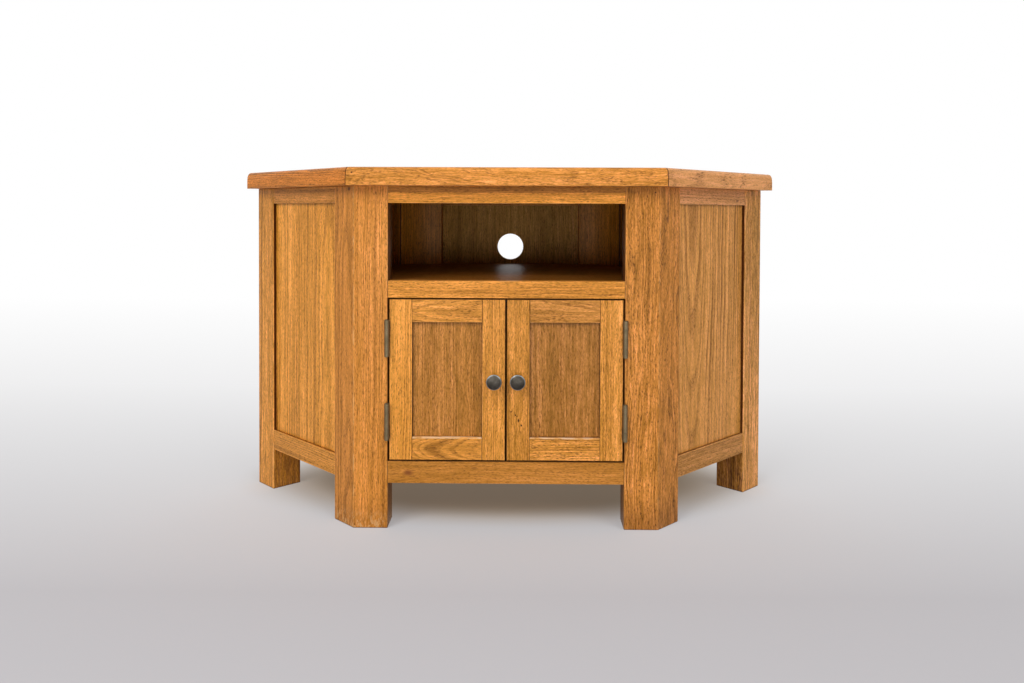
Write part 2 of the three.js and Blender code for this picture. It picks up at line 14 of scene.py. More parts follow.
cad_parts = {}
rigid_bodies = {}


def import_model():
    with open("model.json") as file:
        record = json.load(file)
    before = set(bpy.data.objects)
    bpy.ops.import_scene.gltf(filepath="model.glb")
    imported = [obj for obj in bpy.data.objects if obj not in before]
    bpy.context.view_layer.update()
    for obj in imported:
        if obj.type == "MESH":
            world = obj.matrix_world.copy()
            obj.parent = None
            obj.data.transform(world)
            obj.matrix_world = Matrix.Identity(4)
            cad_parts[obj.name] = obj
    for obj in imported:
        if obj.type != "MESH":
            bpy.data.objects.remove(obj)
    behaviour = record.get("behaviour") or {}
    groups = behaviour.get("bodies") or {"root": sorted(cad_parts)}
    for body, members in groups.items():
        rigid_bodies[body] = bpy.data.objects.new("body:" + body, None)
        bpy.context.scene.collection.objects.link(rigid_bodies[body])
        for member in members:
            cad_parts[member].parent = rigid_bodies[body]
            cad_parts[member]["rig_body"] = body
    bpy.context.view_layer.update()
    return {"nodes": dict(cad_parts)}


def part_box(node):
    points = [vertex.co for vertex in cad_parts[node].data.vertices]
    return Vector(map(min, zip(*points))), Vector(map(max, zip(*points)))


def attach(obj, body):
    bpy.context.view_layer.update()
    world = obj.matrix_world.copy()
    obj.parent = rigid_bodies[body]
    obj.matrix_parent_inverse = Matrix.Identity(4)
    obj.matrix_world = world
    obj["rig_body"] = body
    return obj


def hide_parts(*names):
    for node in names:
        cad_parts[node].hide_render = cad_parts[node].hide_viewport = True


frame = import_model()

bl_info = {
    "name": "Corner television cabinet",
    "version": (1, 0, 0),
    "blender": (4, 5, 0),
    "location": "3D View > Sidebar > Cabinet",
    "description": "Oak boards, pewter fittings and a photo studio round the packed cabinet",
    "category": "Object",
}

mm = 0.001
up = Vector((0, 0, 1))

# Both hands of the cabinet, with the way along X to each
sides = {"left": -1, "right": 1}


def srgb(code):
    """An sRGB hex colour as linear red, green and blue."""
    shares = [int(code[i : i + 2], 16) / 255 for i in (1, 3, 5)]
    return [s / 12.92 if s <= 0.04045 else ((s + 0.055) / 1.055) ** 2.4 for s in shares]


def colour(name, description, code):
    return FloatVectorProperty(
        name=name, description=description, subtype="COLOR", size=3, min=0, max=1, default=srgb(code)
    )


def length(name, description, metres):
    return FloatProperty(name=name, description=description, default=metres, min=0, unit="LENGTH")


def share(name, description, value):
    return FloatProperty(name=name, description=description, default=value, min=0, max=1, subtype="FACTOR")


def power(name, description, watts):
    return FloatProperty(name=name, description=description, default=watts, min=0)


def count(name, description, value, least):
    return IntProperty(name=name, description=description, default=value, min=least)


class CabinetOakColours(bpy.types.PropertyGroup):
    """What each family of boards looks like from a step away"""

    post: colour("Front posts", "Golden oak of the two front posts", "#d2893a")
    rail: colour("Front rails", "Golden oak of the rails across the front", "#d9903a")
    left_side: colour("Left side", "Orange oak of the left facet", "#df963c")
    right_side: colour("Right side", "Browner oak of the right facet", "#d2924a")
    top: colour("Top", "Oak of the top and its front border", "#da9040")
    left_border: colour("Left border", "Redder oak of the top's left border", "#c87828")
    right_border: colour("Right border", "Pinker oak of the top's right border", "#dc9a5e")
    door: colour("Door frames", "Golden oak of the doors' stiles and rails", "#dc943e")
    door_panel: colour("Door panels", "Browner oak of the doors' panels", "#bb7d36")
    rear: colour("Rear", "Oak of the rear walls' and the back's frames", "#bd7c26")
    back: colour("Back panels", "Greyer oak of the rear walls' and the back's panels", "#a87c38")
    inside: colour("Boards inside", "Oak of the shelf and the floor board", "#a86a2c")
    grain: colour("Grain lines", "Stain held in the early wood of each ring", "#7e4c0b")
    pore: colour("Pores", "Stain held in the open pores", "#5a340c")
    knot: colour("Knot", "Heart of a knot", "#7b431f")
    # Stain and painted shade: this dark colour also paints shade into gaps, recesses, the bay and the feet,
    # and a shadow under the top.
    stain: colour("Stain in corners", "Stain gathered where a panel meets its frame", "#35150a")
    wear: colour("Worn arrises", "Bare wood where an arris has worn", "#e6b274")
    # A painted highlight: the pale colour of the ledges under the doors' panels, where light catches them.
    ledge_highlight: colour("Bare ledges", "Bleached wood of the ledges under the doors' panels", "#dfbc9a")


class CabinetOakGrain(bpy.types.PropertyGroup):
    """Sizes of the grain, and the lacquer over it"""

    ring_width: length("Growth ring", "Width of one year's growth", 2.7 * mm)
    pore_length: length("Pore length", "Length of a pore along the grain", 6.5 * mm)
    pore_width: length("Pore width", "Width of a pore as drawn", 1.6 * mm)
    pore_depth: length("Pore depth", "How deep the lacquer sinks into the pores", 0.12 * mm)
    stave_width: length("Stave width", "Width of the staves glued up into the top and the boards", 95 * mm)
    lacquer_roughness: share("Lacquer roughness", "Roughness of the satin lacquer", 0.36)
    lacquer_gloss: share("Lacquer gloss", "Strength of the lacquer's reflections", 0.15)


class CabinetEdges(bpy.types.PropertyGroup):
    """How far the sharp arrises are eased"""

    post: length("Posts", "Easing of the posts' arrises", 1.5 * mm)
    board: length("Rails and stiles", "Easing of the rails' and stiles' arrises", 0.8 * mm)
    top: length("Top", "Easing of the mitres and joints of the top", 0.7 * mm)
    fitting: length("Fittings", "Easing of the small plates and blocks", 0.25 * mm)
    segments: count("Segments", "Faces across an eased arris", 2, 1)


class CabinetMetals(bpy.types.PropertyGroup):
    """Colours of the fittings"""

    pewter: colour("Pewter", "Dark cast pewter of the knobs", "#56514a")
    pewter_patina: colour("Pewter patina", "Darker tarnish in its hollows", "#3a362f")
    # Partly a painted highlight: the knobs' rims are painted this bright all round their fronts.
    pewter_rim_highlight: colour("Pewter rim", "Rim of the knobs, rubbed bright", "#8b8f90")
    hinge: colour("Hinges", "Grey-brown plating of the hinges", "#847459")
    hinge_patina: colour("Hinge patina", "Darker tarnish of the plating", "#75684f")
    steel: colour("Steel", "Zinc-plated steel of plates and screws", "#b4b2ac")
    plastic: colour("Plastic", "Moulded brown plastic of the catch", "#4b3524")


class CabinetKnobs(bpy.types.PropertyGroup):
    """Sizes of the turned knobs that the CAD model leaves plain"""

    lip: length("Lip", "Radius of the rounded lip round the face", 1.6 * mm)
    dome: length("Dome", "Rise of the face above its lip", 2.6 * mm)
    steps: count("Steps", "Faces round a knob", 72, 12)


class CabinetHinges(bpy.types.PropertyGroup):
    """Sizes of the butt hinges"""

    cuts: count("Cuts", "Cuts across each flat of a knuckle", 2, 1)
    pin_steps: count("Pin steps", "Faces round a pin", 36, 12)
    knuckle_easing: length("Knuckle easing", "Easing of the ends of each knuckle", 0.15 * mm)


class CabinetScrews(bpy.types.PropertyGroup):
    """Sizes of the countersunk screws in the hinges and strike plates"""

    head_radius: length("Head radius", "Radius of the flat head", 2.85 * mm)
    head_height: length("Head height", "Height of the countersunk head", 1.25 * mm)
    shank_radius: length("Shank radius", "Radius of the shank", 1.3 * mm)
    leaf_length: length("Leaf screw length", "Length of a hinge screw", 13.5 * mm)
    strike_length: length("Strike screw length", "Length of a strike plate's screw", 10.5 * mm)
    slot_width: length("Slot width", "Width of each arm of the cross slot", 0.7 * mm)
    slot_depth: length("Slot depth", "Depth of the cross slot", 0.8 * mm)


class CabinetStudio(bpy.types.PropertyGroup):
    """The plain studio that the cabinet is photographed in"""

    floor_near: colour("Floor near", "Floor in front of the cabinet", "#c3c1c4")
    floor_far: colour("Floor far", "Floor towards the backdrop", "#ffffff")
    # Painted shade: the floor under the cabinet, darker and warmer, standing in for its shadow and the oak's
    # reflected light.
    painted_shade_under_cabinet: colour("Floor under", "Floor under the cabinet, warmed by the oak above", "#c3b29c")
    key: power("Key light", "Power of the softbox at the left", 65)
    fill: power("Fill light", "Power of the softbox at the right", 36)
    bounce: power("Bounce", "Power of the low card in front", 20)
    horizon: share("Horizon", "Level of the plain light from the sides of the room", 0.05)
    ceiling: share("Ceiling", "Level of the plain light from straight above", 0.8)
    lens: FloatProperty(name="Lens", description="Focal length", default=29.24, min=1, unit="CAMERA")


# The cabinet's plan, as in the CAD model: its outline runs from the left front arris and on to the right.
front_width = 0.532
side_run = 0.242
back_width = 0.460
facet_turn = math.pi / 4
setback = -0.250
corner_x = front_width / 2 + side_run
corner_depth = side_run * math.tan(facet_turn)
carcass_depth = corner_depth + (corner_x - back_width / 2) / math.tan(facet_turn)
outline = [
    Vector((-front_width / 2, setback, 0)),
    Vector((front_width / 2, setback, 0)),
    Vector((corner_x, setback + corner_depth, 0)),
    Vector((back_width / 2, setback + carcass_depth, 0)),
    Vector((-back_width / 2, setback + carcass_depth, 0)),
    Vector((-corner_x, setback + corner_depth, 0)),
]
wall_names = ["front", "right_side", "right_rear", "back", "left_rear", "left_side"]


def wall_axes(wall):
    """Where a wall starts, the way along its outer face, and the way out of the cabinet."""
    start = outline[wall_names.index(wall)]
    end = outline[(wall_names.index(wall) + 1) % len(outline)]
    along = (end - start).normalized()
    return start, along, along.cross(up)


# How a board was cut from its log. `pith` is where the middle of the tree lay, in millimetres across the
# board and out of its face. `rise` is how far it drifts, the same two ways, for each millimetre along the
# board. `wander` is how far the grain strays from straight, in millimetres.
cuts = {
    "rift": {"pith": (85, -70), "rise": (0.004, 0.012), "wander": 5},
    "quarter": {"pith": (150, -14), "rise": (0.006, 0.002), "wander": 4},
    "flat": {"pith": (4, -40), "rise": (0.008, 0.05), "wander": 7},
    "flame": {"pith": (3, -24), "rise": (0.02, 0.16), "wander": 9},
}

# What most boards are like. `shade` lightens or darkens a board, `ring` widens its growth rings, and `figure`
# is how strongly its grain is mottled. `knot` is a knot's place along and across the board and its size, in
# millimetres. `nowhere` is far enough off that it never shows.
nowhere = 1e5
usual = dict(shade=1, ring=1, grain=0.6, pores=0.7, figure=0.2, contrast=1, gloss=1)
usual.update(wear=0.35, scuffs=0.1, grime=0, knot=(nowhere, nowhere, 1))


def cut_from(cut, face, family, **own):
    """A board: its cut, the wall that its best face looks out of, its family of colour and its own traits."""
    return {"cut": cut, "face": face, "family": family, **usual, **own}


boards = {
    "top_panel": cut_from("flat", "above", "top"),
    "top_front_border": cut_from("flat", "front", "top", wander=12, grain=0.62, contrast=1.2),
    "top_left_border": cut_from("rift", "left_side", "left_border", grain=0.7),
    "top_right_border": cut_from("flat", "right_side", "right_border", shade=1.07, grain=0.4, contrast=0.5),
    "front_left_post": cut_from(
        "rift", "front", "post", shade=1.02, contrast=0.85, wear=0.5, scuffs=1, grime=0.2
    ),
    "front_right_post": cut_from(
        "rift", "front", "post", shade=0.94, figure=0.8, grain=0.8, pores=0.9, wander=10, contrast=1.1,
        wear=0.3, grime=0.35,
    ),
    "left_corner_post": cut_from("rift", "left_side", "left_side", contrast=1.45, grain=0.8),
    "right_corner_post": cut_from("rift", "right_side", "right_side", shade=1.18, contrast=1.7, grain=0.7),
    "back_left_post": cut_from("rift", "back", "rear", shade=1.15),
    "back_right_post": cut_from("rift", "back", "rear", shade=1.15),
    "front_top_rail": cut_from("rift", "front", "rail", grain=0.35, shade=1.22),
    "front_shelf_rail": cut_from("rift", "front", "rail", wander=9, shade=1.1),
    "front_bottom_rail": cut_from(
        "rift", "front", "rail", shade=0.72, grain=0.3, contrast=0.75, knot=(-170, -1, 6)
    ),
    "left_side_top_rail": cut_from("rift", "left_side", "rail", shade=0.76),
    "left_side_bottom_rail": cut_from("rift", "left_side", "left_side", shade=0.92, contrast=0.7, grain=0.5),
    "left_side_panel": cut_from("rift", "left_side", "left_side", shade=1.13, grain=0.8, ring=2.2),
    "right_side_top_rail": cut_from("rift", "right_side", "right_border", shade=0.98, contrast=0.6),
    "right_side_bottom_rail": cut_from("rift", "right_side", "right_side", shade=0.82),
    "right_side_panel": cut_from(
        "flat", "right_side", "right_side", pith=(62, -40), ring=2.5, grain=0.9, contrast=0.8, shade=1.15
    ),
}
for wall in ("left_rear", "right_rear", "back"):
    boards[f"{wall}_top_rail"] = cut_from("rift", wall, "rear")
    boards[f"{wall}_bottom_rail"] = cut_from("rift", wall, "rear")
    # The rear walls' panels are painted lighter, standing in for light that reaches their inner faces in the
    # bay.
    boards[f"{wall}_panel"] = cut_from("quarter", wall, "back", shade=1.6)
# The back panel is painted lighter too, standing in for light that reaches it in the bay.
boards["back_panel"].update(shade=1.25, gloss=0.4)
# The shelf is painted darker, standing in for the shade inside the bay.
boards["shelf_board"] = cut_from("flat", "above", "inside", shade=0.56, contrast=1.7, gloss=0.38)
boards["floor_board"] = cut_from("flat", "above", "inside")
boards["catch_block"] = cut_from("rift", "front", "inside")
for hand in sides:
    boards[f"{hand}_door_hinge_stile"] = cut_from("rift", "front", "door")
    boards[f"{hand}_door_meeting_stile"] = cut_from("quarter", "front", "door")
    boards[f"{hand}_door_top_rail"] = cut_from("flat", "front", "door", wander=5)
    boards[f"{hand}_door_bottom_rail"] = cut_from("flame", "front", "door", grain=0.7)
    boards[f"{hand}_door_panel"] = cut_from("quarter", "front", "door_panel", pores=0.8)
boards["left_door_bottom_rail"].update(grain=0.9, ring=1.6, contrast=0.7)
boards["right_door_bottom_rail"].update(cut="rift", grain=0.85, pores=1, contrast=1.3)
boards["right_door_top_rail"].update(shade=0.72, ring=1.3)
boards["left_door_panel"].update(contrast=1.2)
boards["right_door_panel"].update(shade=0.84, contrast=1.35)
boards["left_door_hinge_stile"].update(shade=1.13, contrast=0.65)
boards["right_door_hinge_stile"].update(contrast=1.25)
boards["right_door_meeting_stile"].update(shade=0.91, contrast=1.3)

# Small dark marks in the wood, and a painted shadow under the top. Each has its middle in the cabinet,
# its half length along the grain, its half width across it and how dark it is, with the lengths in
# millimetres. `mark_depth` is how deep they go.
mark_depth = 6
marks = {
    "right_door_meeting_stile": [
        ((9.2, -249, 205.5), 1.5, 1.4, 0.9),
        ((16.7, -249, 199.6), 1.6, 1.4, 0.95),
        ((19.5, -249, 197.5), 1.2, 1.2, 0.8),
        ((22.0, -249, 190.2), 3.2, 1.3, 0.95),
        ((27.1, -249, 181.6), 1.7, 1.5, 0.95),
    ],
    "front_bottom_rail": [((-55.1, -249, 106), 5, 2.2, 0.35)],
    "top_front_border": [((-264.7, -273, 620), 1.5, 1.5, 0.95)],
    # The front left post's second mark is a painted shadow in the notch under the top's mitre.
    "front_left_post": [((-258.6, -250, 205.3), 7, 0.8, 0.55), ((-275.4, -240.6, 593), 3.5, 3, 0.7)],
    "front_right_post": [
        ((257.2, -250, 587.7), 1.5, 1.5, 0.9),
        ((282, -234, 566), 26, 1.6, 0.4),
        ((281.8, -234.2, 541), 7, 1.5, 0.75),
    ],
    "right_side_top_rail": [((445.2, -70.8, 576), 5, 2.4, 0.6)],
}

# Short names for node types, each with the settings that make the node what it is. The sums are named after
# their operations, and those that work on vectors have "vector" before that.
kinds = {
    "split": ("ShaderNodeSeparateXYZ", {}),
    "join": ("ShaderNodeCombineXYZ", {}),
    "noise": ("ShaderNodeTexNoise", {}),
    "range": ("ShaderNodeMapRange", {}),
    "smooth range": ("ShaderNodeMapRange", {"interpolation_type": "SMOOTHSTEP"}),
    "open range": ("ShaderNodeMapRange", {"clamp": False}),
    "mix colours": ("ShaderNodeMix", {"data_type": "RGBA"}),
    "coordinates": ("ShaderNodeTexCoord", {}),
    "mapping": ("ShaderNodeMapping", {"vector_type": "POINT"}),
}
for operation in ("ADD", "SUBTRACT", "MULTIPLY", "DIVIDE", "MULTIPLY_ADD", "MAXIMUM", "ROUND", "FRACT"):
    kinds[operation.lower()] = ("ShaderNodeMath", {"operation": operation})
for operation in ("ADD", "SUBTRACT", "MULTIPLY", "MULTIPLY_ADD", "SCALE", "LENGTH", "ABSOLUTE"):
    kinds["vector " + operation.lower()] = ("ShaderNodeVectorMath", {"operation": operation})


def add_node(tree, kind, *inputs, **settings):
    """Adds one node, of a type in `kinds` or of Blender's own. `inputs` gives what goes into its sockets, in
    their order or as one dictionary by their names or numbers: a value, an output, or a node, whose first
    output in use is linked."""
    node_type, usual_settings = kinds.get(kind, (kind, {}))
    made = tree.nodes.new(node_type)
    for name, value in {**usual_settings, **settings}.items():
        setattr(made, name, value)
    by_socket = inputs[0] if inputs and isinstance(inputs[0], dict) else dict(enumerate(inputs))
    for socket, value in by_socket.items():
        if isinstance(value, bpy.types.Node):
            value = next(output for output in value.outputs if output.enabled)
        if isinstance(value, bpy.types.NodeSocket):
            tree.links.new(value, made.inputs[socket])
        else:
            made.inputs[socket].default_value = value
    return made


def node_adder(owner):
    """Empties the node tree of a material or a world, and gives the function that adds nodes to it."""
    owner.use_nodes = True
    owner.node_tree.nodes.clear()
    return partial(add_node, owner.node_tree)


# The early wood's share of the grain's dark colour through one year's ring
season_stops = [(0, 1), (0.16, 0.8), (0.5, 0.12), (0.86, 0), (0.95, 0.5), (1, 1)]

oak_inputs = {
    "Vector": ("Place", "Plank", "Pith", "Rise", "Half size", "Knot"),
    "Color": ("Body",),
    "Float": (
        "Wander", "Ring width", "Stave width", "Stave spread", "Grain", "Pores", "Figure", "Contrast", "Wear",
        "Knot size", "Foot", "Scuffs", "Grime",
    ),
}
oak_outputs = {"Color": ("Colour",), "Float": ("Roughness",), "Vector": ("Normal",)}


def oak_grain_group(colours, grain):
    """Stained and lacquered European oak, drawn in millimetres on a board that lies along X and faces +Z.
    Growth rings are shells round the pith, so that each face of a board shows its own true section of
    them: straight lines on a rift or quarter sawn face, arches on a flat sawn one."""
    tree = bpy.data.node_groups.new("lacquered_oak_grain", "ShaderNodeTree")
    add = partial(add_node, tree)
    for way, sockets in (("INPUT", oak_inputs), ("OUTPUT", oak_outputs)):
        for kind, names in sockets.items():
            for name in names:
                tree.interface.new_socket(name=name, in_out=way, socket_type=f"NodeSocket{kind}")
    given = add("NodeGroupInput").outputs
    along, across, _ = add("split", given["Place"]).outputs
    plank_number = add("split", given["Plank"])

    # A glued-up board is a row of staves, each from another plank. A plain board is one stave.
    stave = add("round", add("divide", across, given["Stave width"]))
    middle_place = add("join", 0, add("multiply", stave, given["Stave width"]))
    local = add("vector subtract", given["Place"], middle_place)
    stave_number = add("add", stave, plank_number)
    lot = add("ShaderNodeTexWhiteNoise", {"W": stave_number}, noise_dimensions="1D")
    chance = lot.outputs["Color"]
    centred_chance = add("vector subtract", chance, (0.5, 0.5, 0.5))
    spread = add("vector scale", {0: centred_chance, "Scale": given["Stave spread"]})
    pith_shift = add("vector multiply", spread, (0, 1, 0.4))
    own = add("vector multiply_add", chance, (40, 40, 40), given["Plank"])

    # The grain strays over tens of millimetres.
    stray_place = add("vector multiply_add", local, (1 / 260, 1 / 60, 1 / 60), own)
    stray = add("noise", {"Vector": stray_place, "Scale": 1, "Detail": 2.5, "Roughness": 0.55})
    centred_stray = add("vector subtract", stray.outputs["Color"], (0.5, 0.5, 0.5))
    flat_stray = add("vector multiply", centred_stray, (0, 2, 2))
    drift = add("vector scale", {0: flat_stray, "Scale": given["Wander"]})
    strayed = add("vector add", local, drift)

    # A knot pushes the rings aside.
    round_knot = add("vector multiply", add("vector subtract", local, given["Knot"]), (0.6, 1, 0))
    knot_share = add("divide", add("vector length", round_knot), given["Knot size"])
    near_knot = add("smooth range", knot_share, 0, 3.2, 1, 0)
    knot_heart = add("smooth range", knot_share, 0.1, 1.3, 0.9, 0)
    knot_push = add("multiply", near_knot, given["Knot size"])

    # Rings are counted outwards from the pith, whose line may drift along the board.
    pith = add("vector add", given["Pith"], add("vector scale", {0: given["Rise"], "Scale": along}))
    from_pith = add("vector subtract", strayed, add("vector add", pith, pith_shift))
    radius = add("vector length", add("vector multiply", from_pith, (0, 1, 1)))
    ring = add("divide", add("add", radius, knot_push), given["Ring width"])
    ring_number = add("multiply_add", ring, 0.37, plank_number)
    uneven = add("noise", {"W": ring_number, "Scale": 1, "Detail": 1.5}, noise_dimensions="1D")
    season = add("fract", add("multiply_add", uneven, 3.2, ring))
    early = add("ShaderNodeValToRGB", season)
    ramp = early.color_ramp
    ramp.interpolation = "EASE"
    while len(ramp.elements) < len(season_stops):
        ramp.elements.new(0.5)
    for element, (place, level) in zip(ramp.elements, season_stops):
        element.position = place
        element.color = (level, level, level, 1)

    # The patterns, each with what it is drawn over, how often it changes for each ring or millimetre of that,
    # and how fine it is. Years hold more stain or less, and fade in and out along the board. Pores are fine
    # dashes along the grain, drawn wider than the real 0.3 mm so that they show. Fibres are faint streaks,
    # flecks the ends of fibres and rays in the face, and figure is the mottle where the fibres wave.
    year_place = add("join", ring, along)
    pore_often = (mm / grain.pore_length, mm / grain.pore_width, mm / grain.pore_width)
    patterns = {
        "year": (year_place, (0.23, 1 / 330, 0), {"Detail": 2}),
        "broad": (year_place, (0.085, 1 / 900, 0), {"Detail": 2}),
        "pore": (strayed, pore_often, {"Detail": 1.2, "Roughness": 0.6}),
        "fibre": (strayed, (1 / 30, 1 / 2.8, 1 / 2.8), {"Detail": 2}),
        "fleck": (strayed, (1 / 5, 1 / 2.2, 1 / 2.2), {"Detail": 1}),
        "streak": (strayed, (1 / 240, 1 / 9, 1 / 9), {"Detail": 2}),
        "figure": (strayed, (1 / 40, 1 / 8, 1 / 8), {"Detail": 2, "Distortion": 0.6}),
        "stain": (local, (1 / 9, 1 / 9, 1 / 9), {"Detail": 3}),
        "wear": (local, (1 / 26, 1 / 12, 1 / 12), {"Detail": 4}),
        "scuff": (local, (1 / 11, 1 / 4, 1 / 4), {"Detail": 4, "Distortion": 1.2}),
    }
    drawn = {}
    for name, (source, often, fineness) in patterns.items():
        scaled = add("vector multiply_add", source, often, own)
        drawn[name] = add("noise", {"Vector": scaled, "Scale": 1, **fineness})

    # Stain lies in the early wood, and in the pores, which are thickest there.
    early_held = add("multiply", early, add("range", drawn["year"], 0.34, 0.64, 0.1, 1))
    grain_mask = add("multiply", early_held, given["Grain"])
    pore_spots = add("range", drawn["pore"], 0.52, 0.64, 0, 1)
    pores = add("multiply", pore_spots, add("range", early, 0, 1, 0.4, 1))
    pore_mask = add("multiply", pores, given["Pores"])

    # Body colour: lighter and darker with all of these. Where it darkens, it loses blue twice as fast.
    figure_level = add("multiply_add", add("subtract", drawn["figure"], 0.5), given["Figure"], 1)
    stave_shade = add("multiply_add", add("split", spread), 0.006, 1)
    level = add("multiply", figure_level, stave_shade)
    for name, swing in {"fibre": 0.58, "fleck": 0.28, "streak": 0.4, "broad": 0.4}.items():
        level = add("multiply", level, add("open range", drawn[name], 0, 1, 1 - swing, 1 + swing))
    tone = add("multiply_add", add("subtract", level, 1), given["Contrast"], 1)
    tones = add("join", tone, tone, add("multiply", tone, tone))
    lit_body = add("vector multiply", given["Body"], tones)
    reddened = add("vector multiply", lit_body, (1.0, 0.93, 0.8))
    red_share = add("range", drawn["broad"], 0.35, 0.65, 0.35, 0)
    finished = add("mix colours", {0: red_share, 6: lit_body, 7: reddened})

    # Stain gathers along the edge of a panel, and painted shade darkens it there too. The faces marked
    # for it are darkened as well: in a joint with its own dark, on most of them with painted shade.
    marked = {}
    for name in ("stained", "streaked", "worn"):
        marked[name] = add("ShaderNodeAttribute", attribute_name=name).outputs["Fac"]
    past_edge = add("vector subtract", add("vector absolute", given["Place"]), given["Half size"])
    past = add("split", past_edge).outputs
    at_edge = add("range", add("maximum", past[0], past[1]), -1.9, -0.3, 0, 0.8)
    edge_stain_and_shade = add("multiply", at_edge, add("range", drawn["stain"], 0.36, 0.6, 0.45, 1))
    streaks = add("multiply", add("range", drawn["fibre"], 0.42, 0.6, 0, 1), marked["streaked"])
    stain_and_shade_mask = add("maximum", edge_stain_and_shade, add("maximum", streaks, marked["stained"]))

    # Arrises are worn through to paler wood in places, and the feet are scuffed. The ledges under the
    # doors' panels get a painted highlight.
    where_worn_and_highlit = add("multiply", marked["worn"], add("range", drawn["wear"], 0.44, 0.62, 0.15, 1))
    arris_wear_and_ledge_highlight = add("multiply", where_worn_and_highlit, given["Wear"], use_clamp=True)
    from_floor = add("subtract", along, given["Foot"])
    near_foot = add("range", from_floor, 36, 6, 0, 1)
    scuff_spots = add("range", drawn["scuff"], 0.5, 0.6, 0, 0.75)
    scuffs = add("multiply", scuff_spots, add("multiply", near_foot, given["Scuffs"]))
    wear_and_ledge_highlight = add("maximum", arris_wear_and_ledge_highlight, scuffs)
    ledge_highlight_mask = add("range", where_worn_and_highlit, 1.5, 6, 0, 0.9)

    # The feet are darker low down, with a painted contact shadow where they stand.
    low_down = add("smooth range", from_floor, 75, 5, 0, 1)
    grime = add("multiply", low_down, given["Grime"])
    low_dark_and_contact_shadow = add("maximum", grime, add("range", from_floor, 3.2, 0.6, 0, 0.7))
    layers = [(grain_mask, colours.grain), (pore_mask, colours.pore), (knot_heart, colours.knot)]
    layers += [(stain_and_shade_mask, colours.stain), (wear_and_ledge_highlight, colours.wear), (ledge_highlight_mask, colours.ledge_highlight)]
    for mask, tint in [*layers, (low_dark_and_contact_shadow, colours.stain)]:
        finished = add("mix colours", {0: mask, 6: finished, 7: (*tint, 1)})

    # The lacquer lies a little duller over pores and worn arrises, and sinks into the pores.
    dull = add("maximum", pores, wear_and_ledge_highlight)
    smoothest, roughest = grain.lacquer_roughness - 0.08, grain.lacquer_roughness + 0.08
    even_roughness = add("open range", drawn["fibre"], 0, 1, smoothest, roughest)
    roughness = add("multiply_add", dull, 0.16, even_roughness)
    height = add("multiply_add", drawn["fibre"], -0.5, add("multiply_add", early_held, 0.35, pores))
    relief = {"Strength": 0.7, "Distance": grain.pore_depth, "Height": height}
    bump = add("ShaderNodeBump", relief, invert=True)
    add("NodeGroupOutput", {"Colour": finished, "Roughness": roughness, "Normal": bump})
    return tree


def board_axes(node):
    """The way along a board's grain, across it, and out of its best face."""
    if boards[node]["face"] == "above":
        along = Vector((1, 0, 0))
        out = up
    else:
        _, along, out = wall_axes(boards[node]["face"])
        if node.endswith(("_post", "_stile", "_panel")):
            along = up
    return along, out.cross(along), out


def board_extent(node, axes):
    """A board's middle, and its half size along, across and out of its face, in metres."""
    points = [vertex.co for vertex in frame["nodes"][node].data.vertices]
    spans = []
    for axis in axes:
        reaches = [point.dot(axis) for point in points]
        spans.append((min(reaches), max(reaches)))
    middle = sum((axis * (low + high) / 2 for axis, (low, high) in zip(axes, spans)), Vector())
    return middle, [(high - low) / 2 for low, high in spans]


